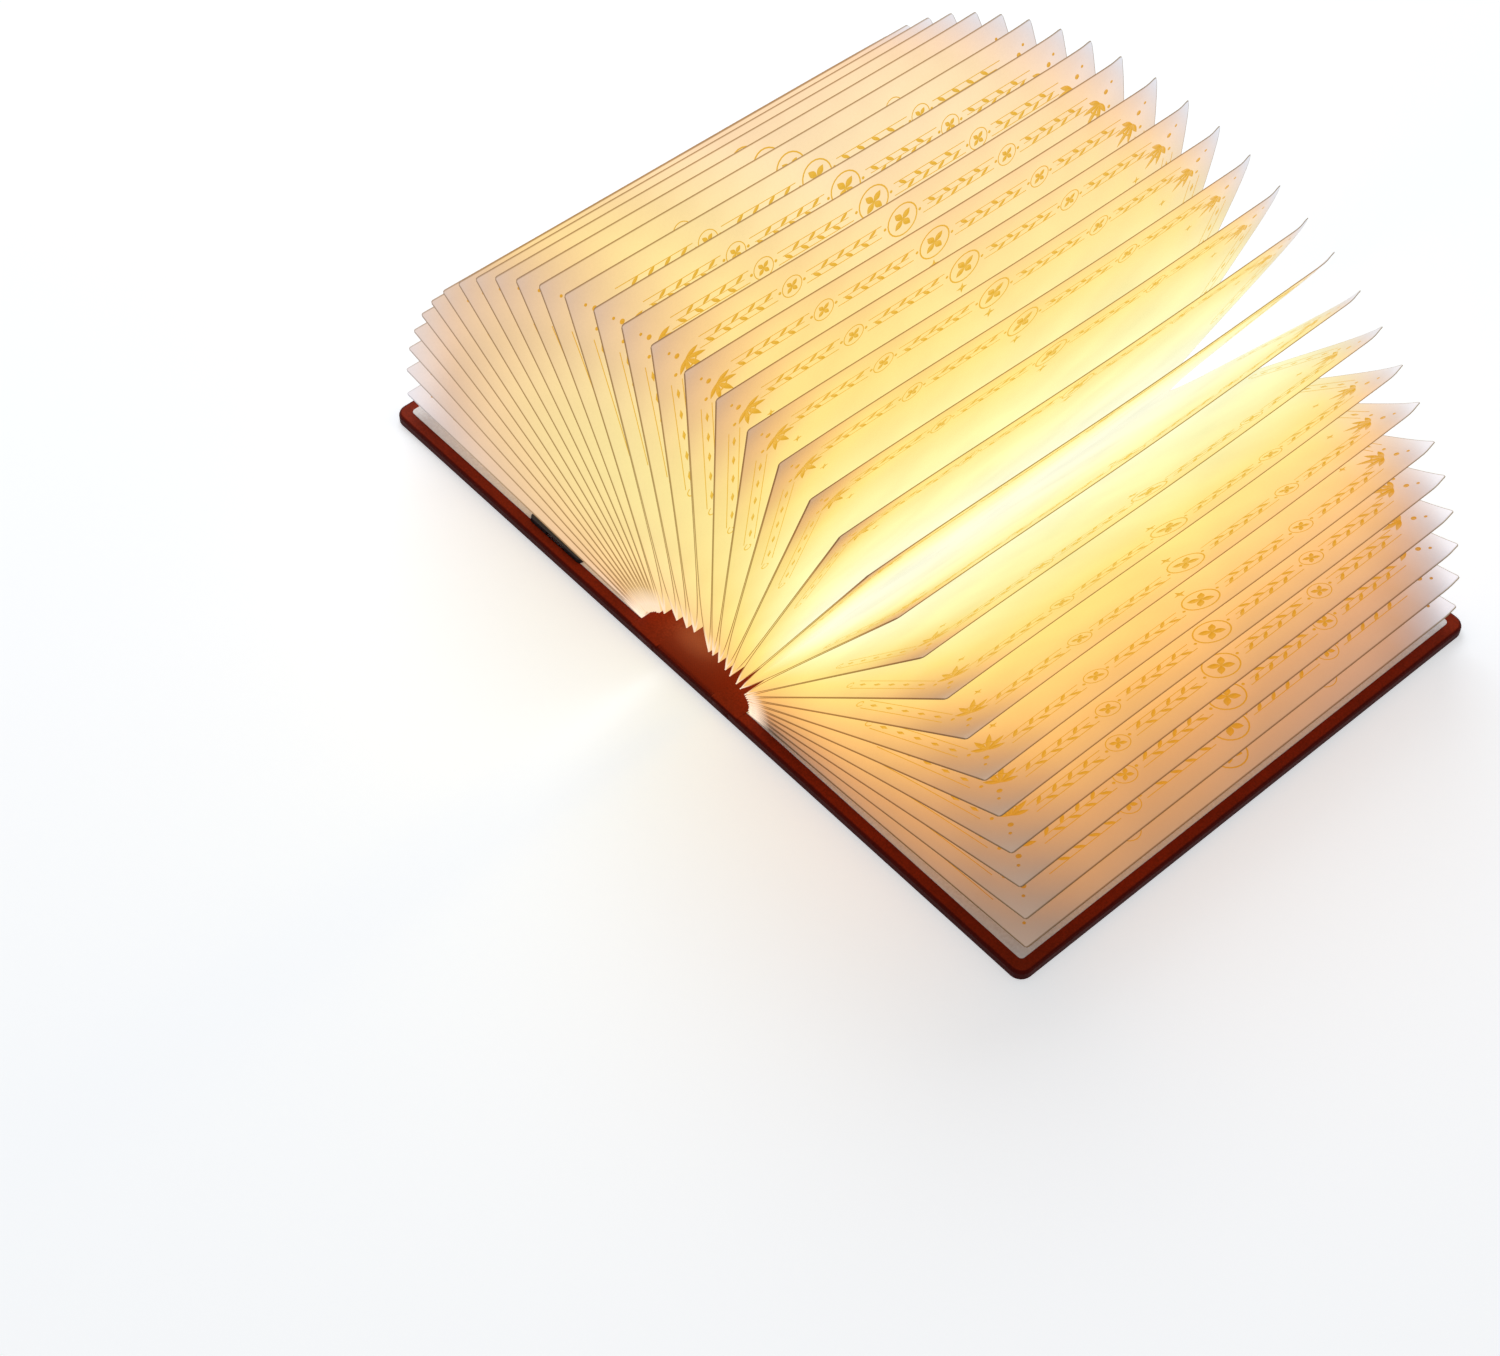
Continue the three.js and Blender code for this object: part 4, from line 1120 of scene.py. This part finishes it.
# %% [markdown]
# ## The design of the foil
# It is made up here. The front has a double frame, a palmette with curls in each corner, a
# compass flower in rings inside a wreath, and a palmette with sprays above and below it. The
# back has the outer line of the frame and the corners. The spine has rules, leaves and flowers.

# %% Parts of the design
CASE_HALF, COVER_INSIDE, COVER_OUTSIDE = 107.5, 24, 162
COVER_HALF = (COVER_OUTSIDE - COVER_INSIDE) / 2


def frame_lines(inset, width):
    """Four lines of a frame that stop short of the corners by 16 mm."""
    x, y, gap = COVER_HALF - inset, CASE_HALF - inset, 16
    lines = [line((-x + gap, y), (x - gap, y), width, 40),
             line((x, y - gap), (x, -y + gap), width, 40)]
    return together(lines + [mirrored(part, -1, -1) for part in lines])


def corner_spray():
    """A palmette that points out to the corner, two curls and a few dots, for the corner with
    both coordinates positive."""
    x, y = COVER_HALF, CASE_HALF
    curl, turned = together([arc((-9, -24), 3.4, 0.9, 60, -300, 22, 1.2),
                             sprig((-12, -19), 7, 2.2, -110), dot((-10, -31), 0.7),
                             dot((-10, -34), 0.45), sprig((-13.5, -27), 5, 1.6, -80)])
    return together([palmette((x - 13, y - 13), 9.5, 45), flower((x - 16.5, y - 16.5), 3.4),
                     dot((x - 8, y - 8), 0.6), (curl + (x, y), turned),
                     (curl[:, ::-1] + (x, y), [face[::-1] for face in turned])])


def compass(radius):
    """Rings, ticks, an eight-pointed star in two lengths, and flowers between."""
    parts = [arc((0, 0), radius, 0.9, count=64), arc((0, 0), radius * 0.9, 0.4, count=64),
             arc((0, 0), radius * 0.52, 0.5, count=48), star((0, 0), radius * 0.8, 2.6),
             dot((0, 0), 0.2)]
    parts += [line(polar(15 * k, radius * 0.925), polar(15 * k, radius * 0.975), 0.5, 9)
              for k in range(24)]
    for degrees in (45, 135, 225, 315):
        parts += [sprig((0.0, 0.0), radius * 0.5, 3.4, degrees),
                  flower(polar(degrees, radius * 0.72), 3.0)]
    return together(parts)


def wreath(radius):
    """Pairs of leaves all round, leaning along the circle, with a flower at each diagonal."""
    parts = []
    for k in range(44):
        degrees = 360 * (k + 0.5) / 44
        if abs(degrees % 90 - 45) > 1:
            parts += [sprig(polar(degrees, radius), 6.5, 2.0, degrees + 90 + tilt)
                      for tilt in (40, -40)]
    return together(parts + [flower(polar(45 + 90 * k, radius), 4.2) for k in range(4)])


def end_piece(y):
    """A palmette between two curling sprays, for the space above the wreath."""
    sprigs = [sprig((x, y - 0.012 * x * x), 5.5, 1.7, tilt) for x in (13, 20, 27, 34)
              for tilt in (28, -62)]
    spray = together(sprigs + [dot((41, y - 19), 0.9), dot((45, y - 23), 0.6),
                               arc((8, y + 1), 3.0, 0.8, 180, -300, 20, 1.0)])
    return together([palmette((0, y - 3), 9, 90), flower((0, y - 8), 3.2), spray,
                     mirrored(spray, -1, 1)])


def spine_design():
    """Six rules, two stems with leaves and a star at the tip, and three flowers."""
    leaves_up = [sprig((0, y), 6, 1.8, 90 + tilt) for y in (40, 47, 54, 61, 68)
                 for tilt in (38, -38)]
    stem = together(leaves_up + [line((0, 38), (0, 74), 0.4, 40), dot((0, 77), 0.9),
                                 star((0, 82), 3.2, 1.0)])
    rules = [line((-13, y), (13, y), 0.9, 40) for y in (-98, -95, -62, 62, 95, 98)]
    return together(rules + [stem, mirrored(stem, 1, -1), flower((0, 0), 7), flower((0, 22), 4),
                             flower((0, -22), 4)])


print("each cover has", 2 * COVER_HALF, "x", 2 * CASE_HALF, "mm for the foil")

# %% [markdown]
# ## Laying the foil on the case
# Corner and end pieces are drawn once and mirrored. The front and the back share the outer
# line of the frame and the corners, and the front has more between them.

# %% Front, back and spine
corners = [mirrored(corner_spray(), along, up) for along in (1, -1) for up in (1, -1)]
back = together([frame_lines(8, 1.3)] + corners)
front = together([frame_lines(8, 1.3), frame_lines(11, 0.5)] + corners
                 + [compass(38), wreath(47), end_piece(76), mirrored(end_piece(76), 1, -1)])
for name, shape, centre_x, body in (
        ("front_cover_foil", front, -(COVER_INSIDE + COVER_HALF), "front_cover"),
        ("back_cover_foil", back, COVER_INSIDE + COVER_HALF, "back_cover"),
        ("spine_foil", spine_design(), 0, "spine")):
    lay_foil(name, shape, centre_x, body)
print("foil faces on the front cover:", len(front[1]))
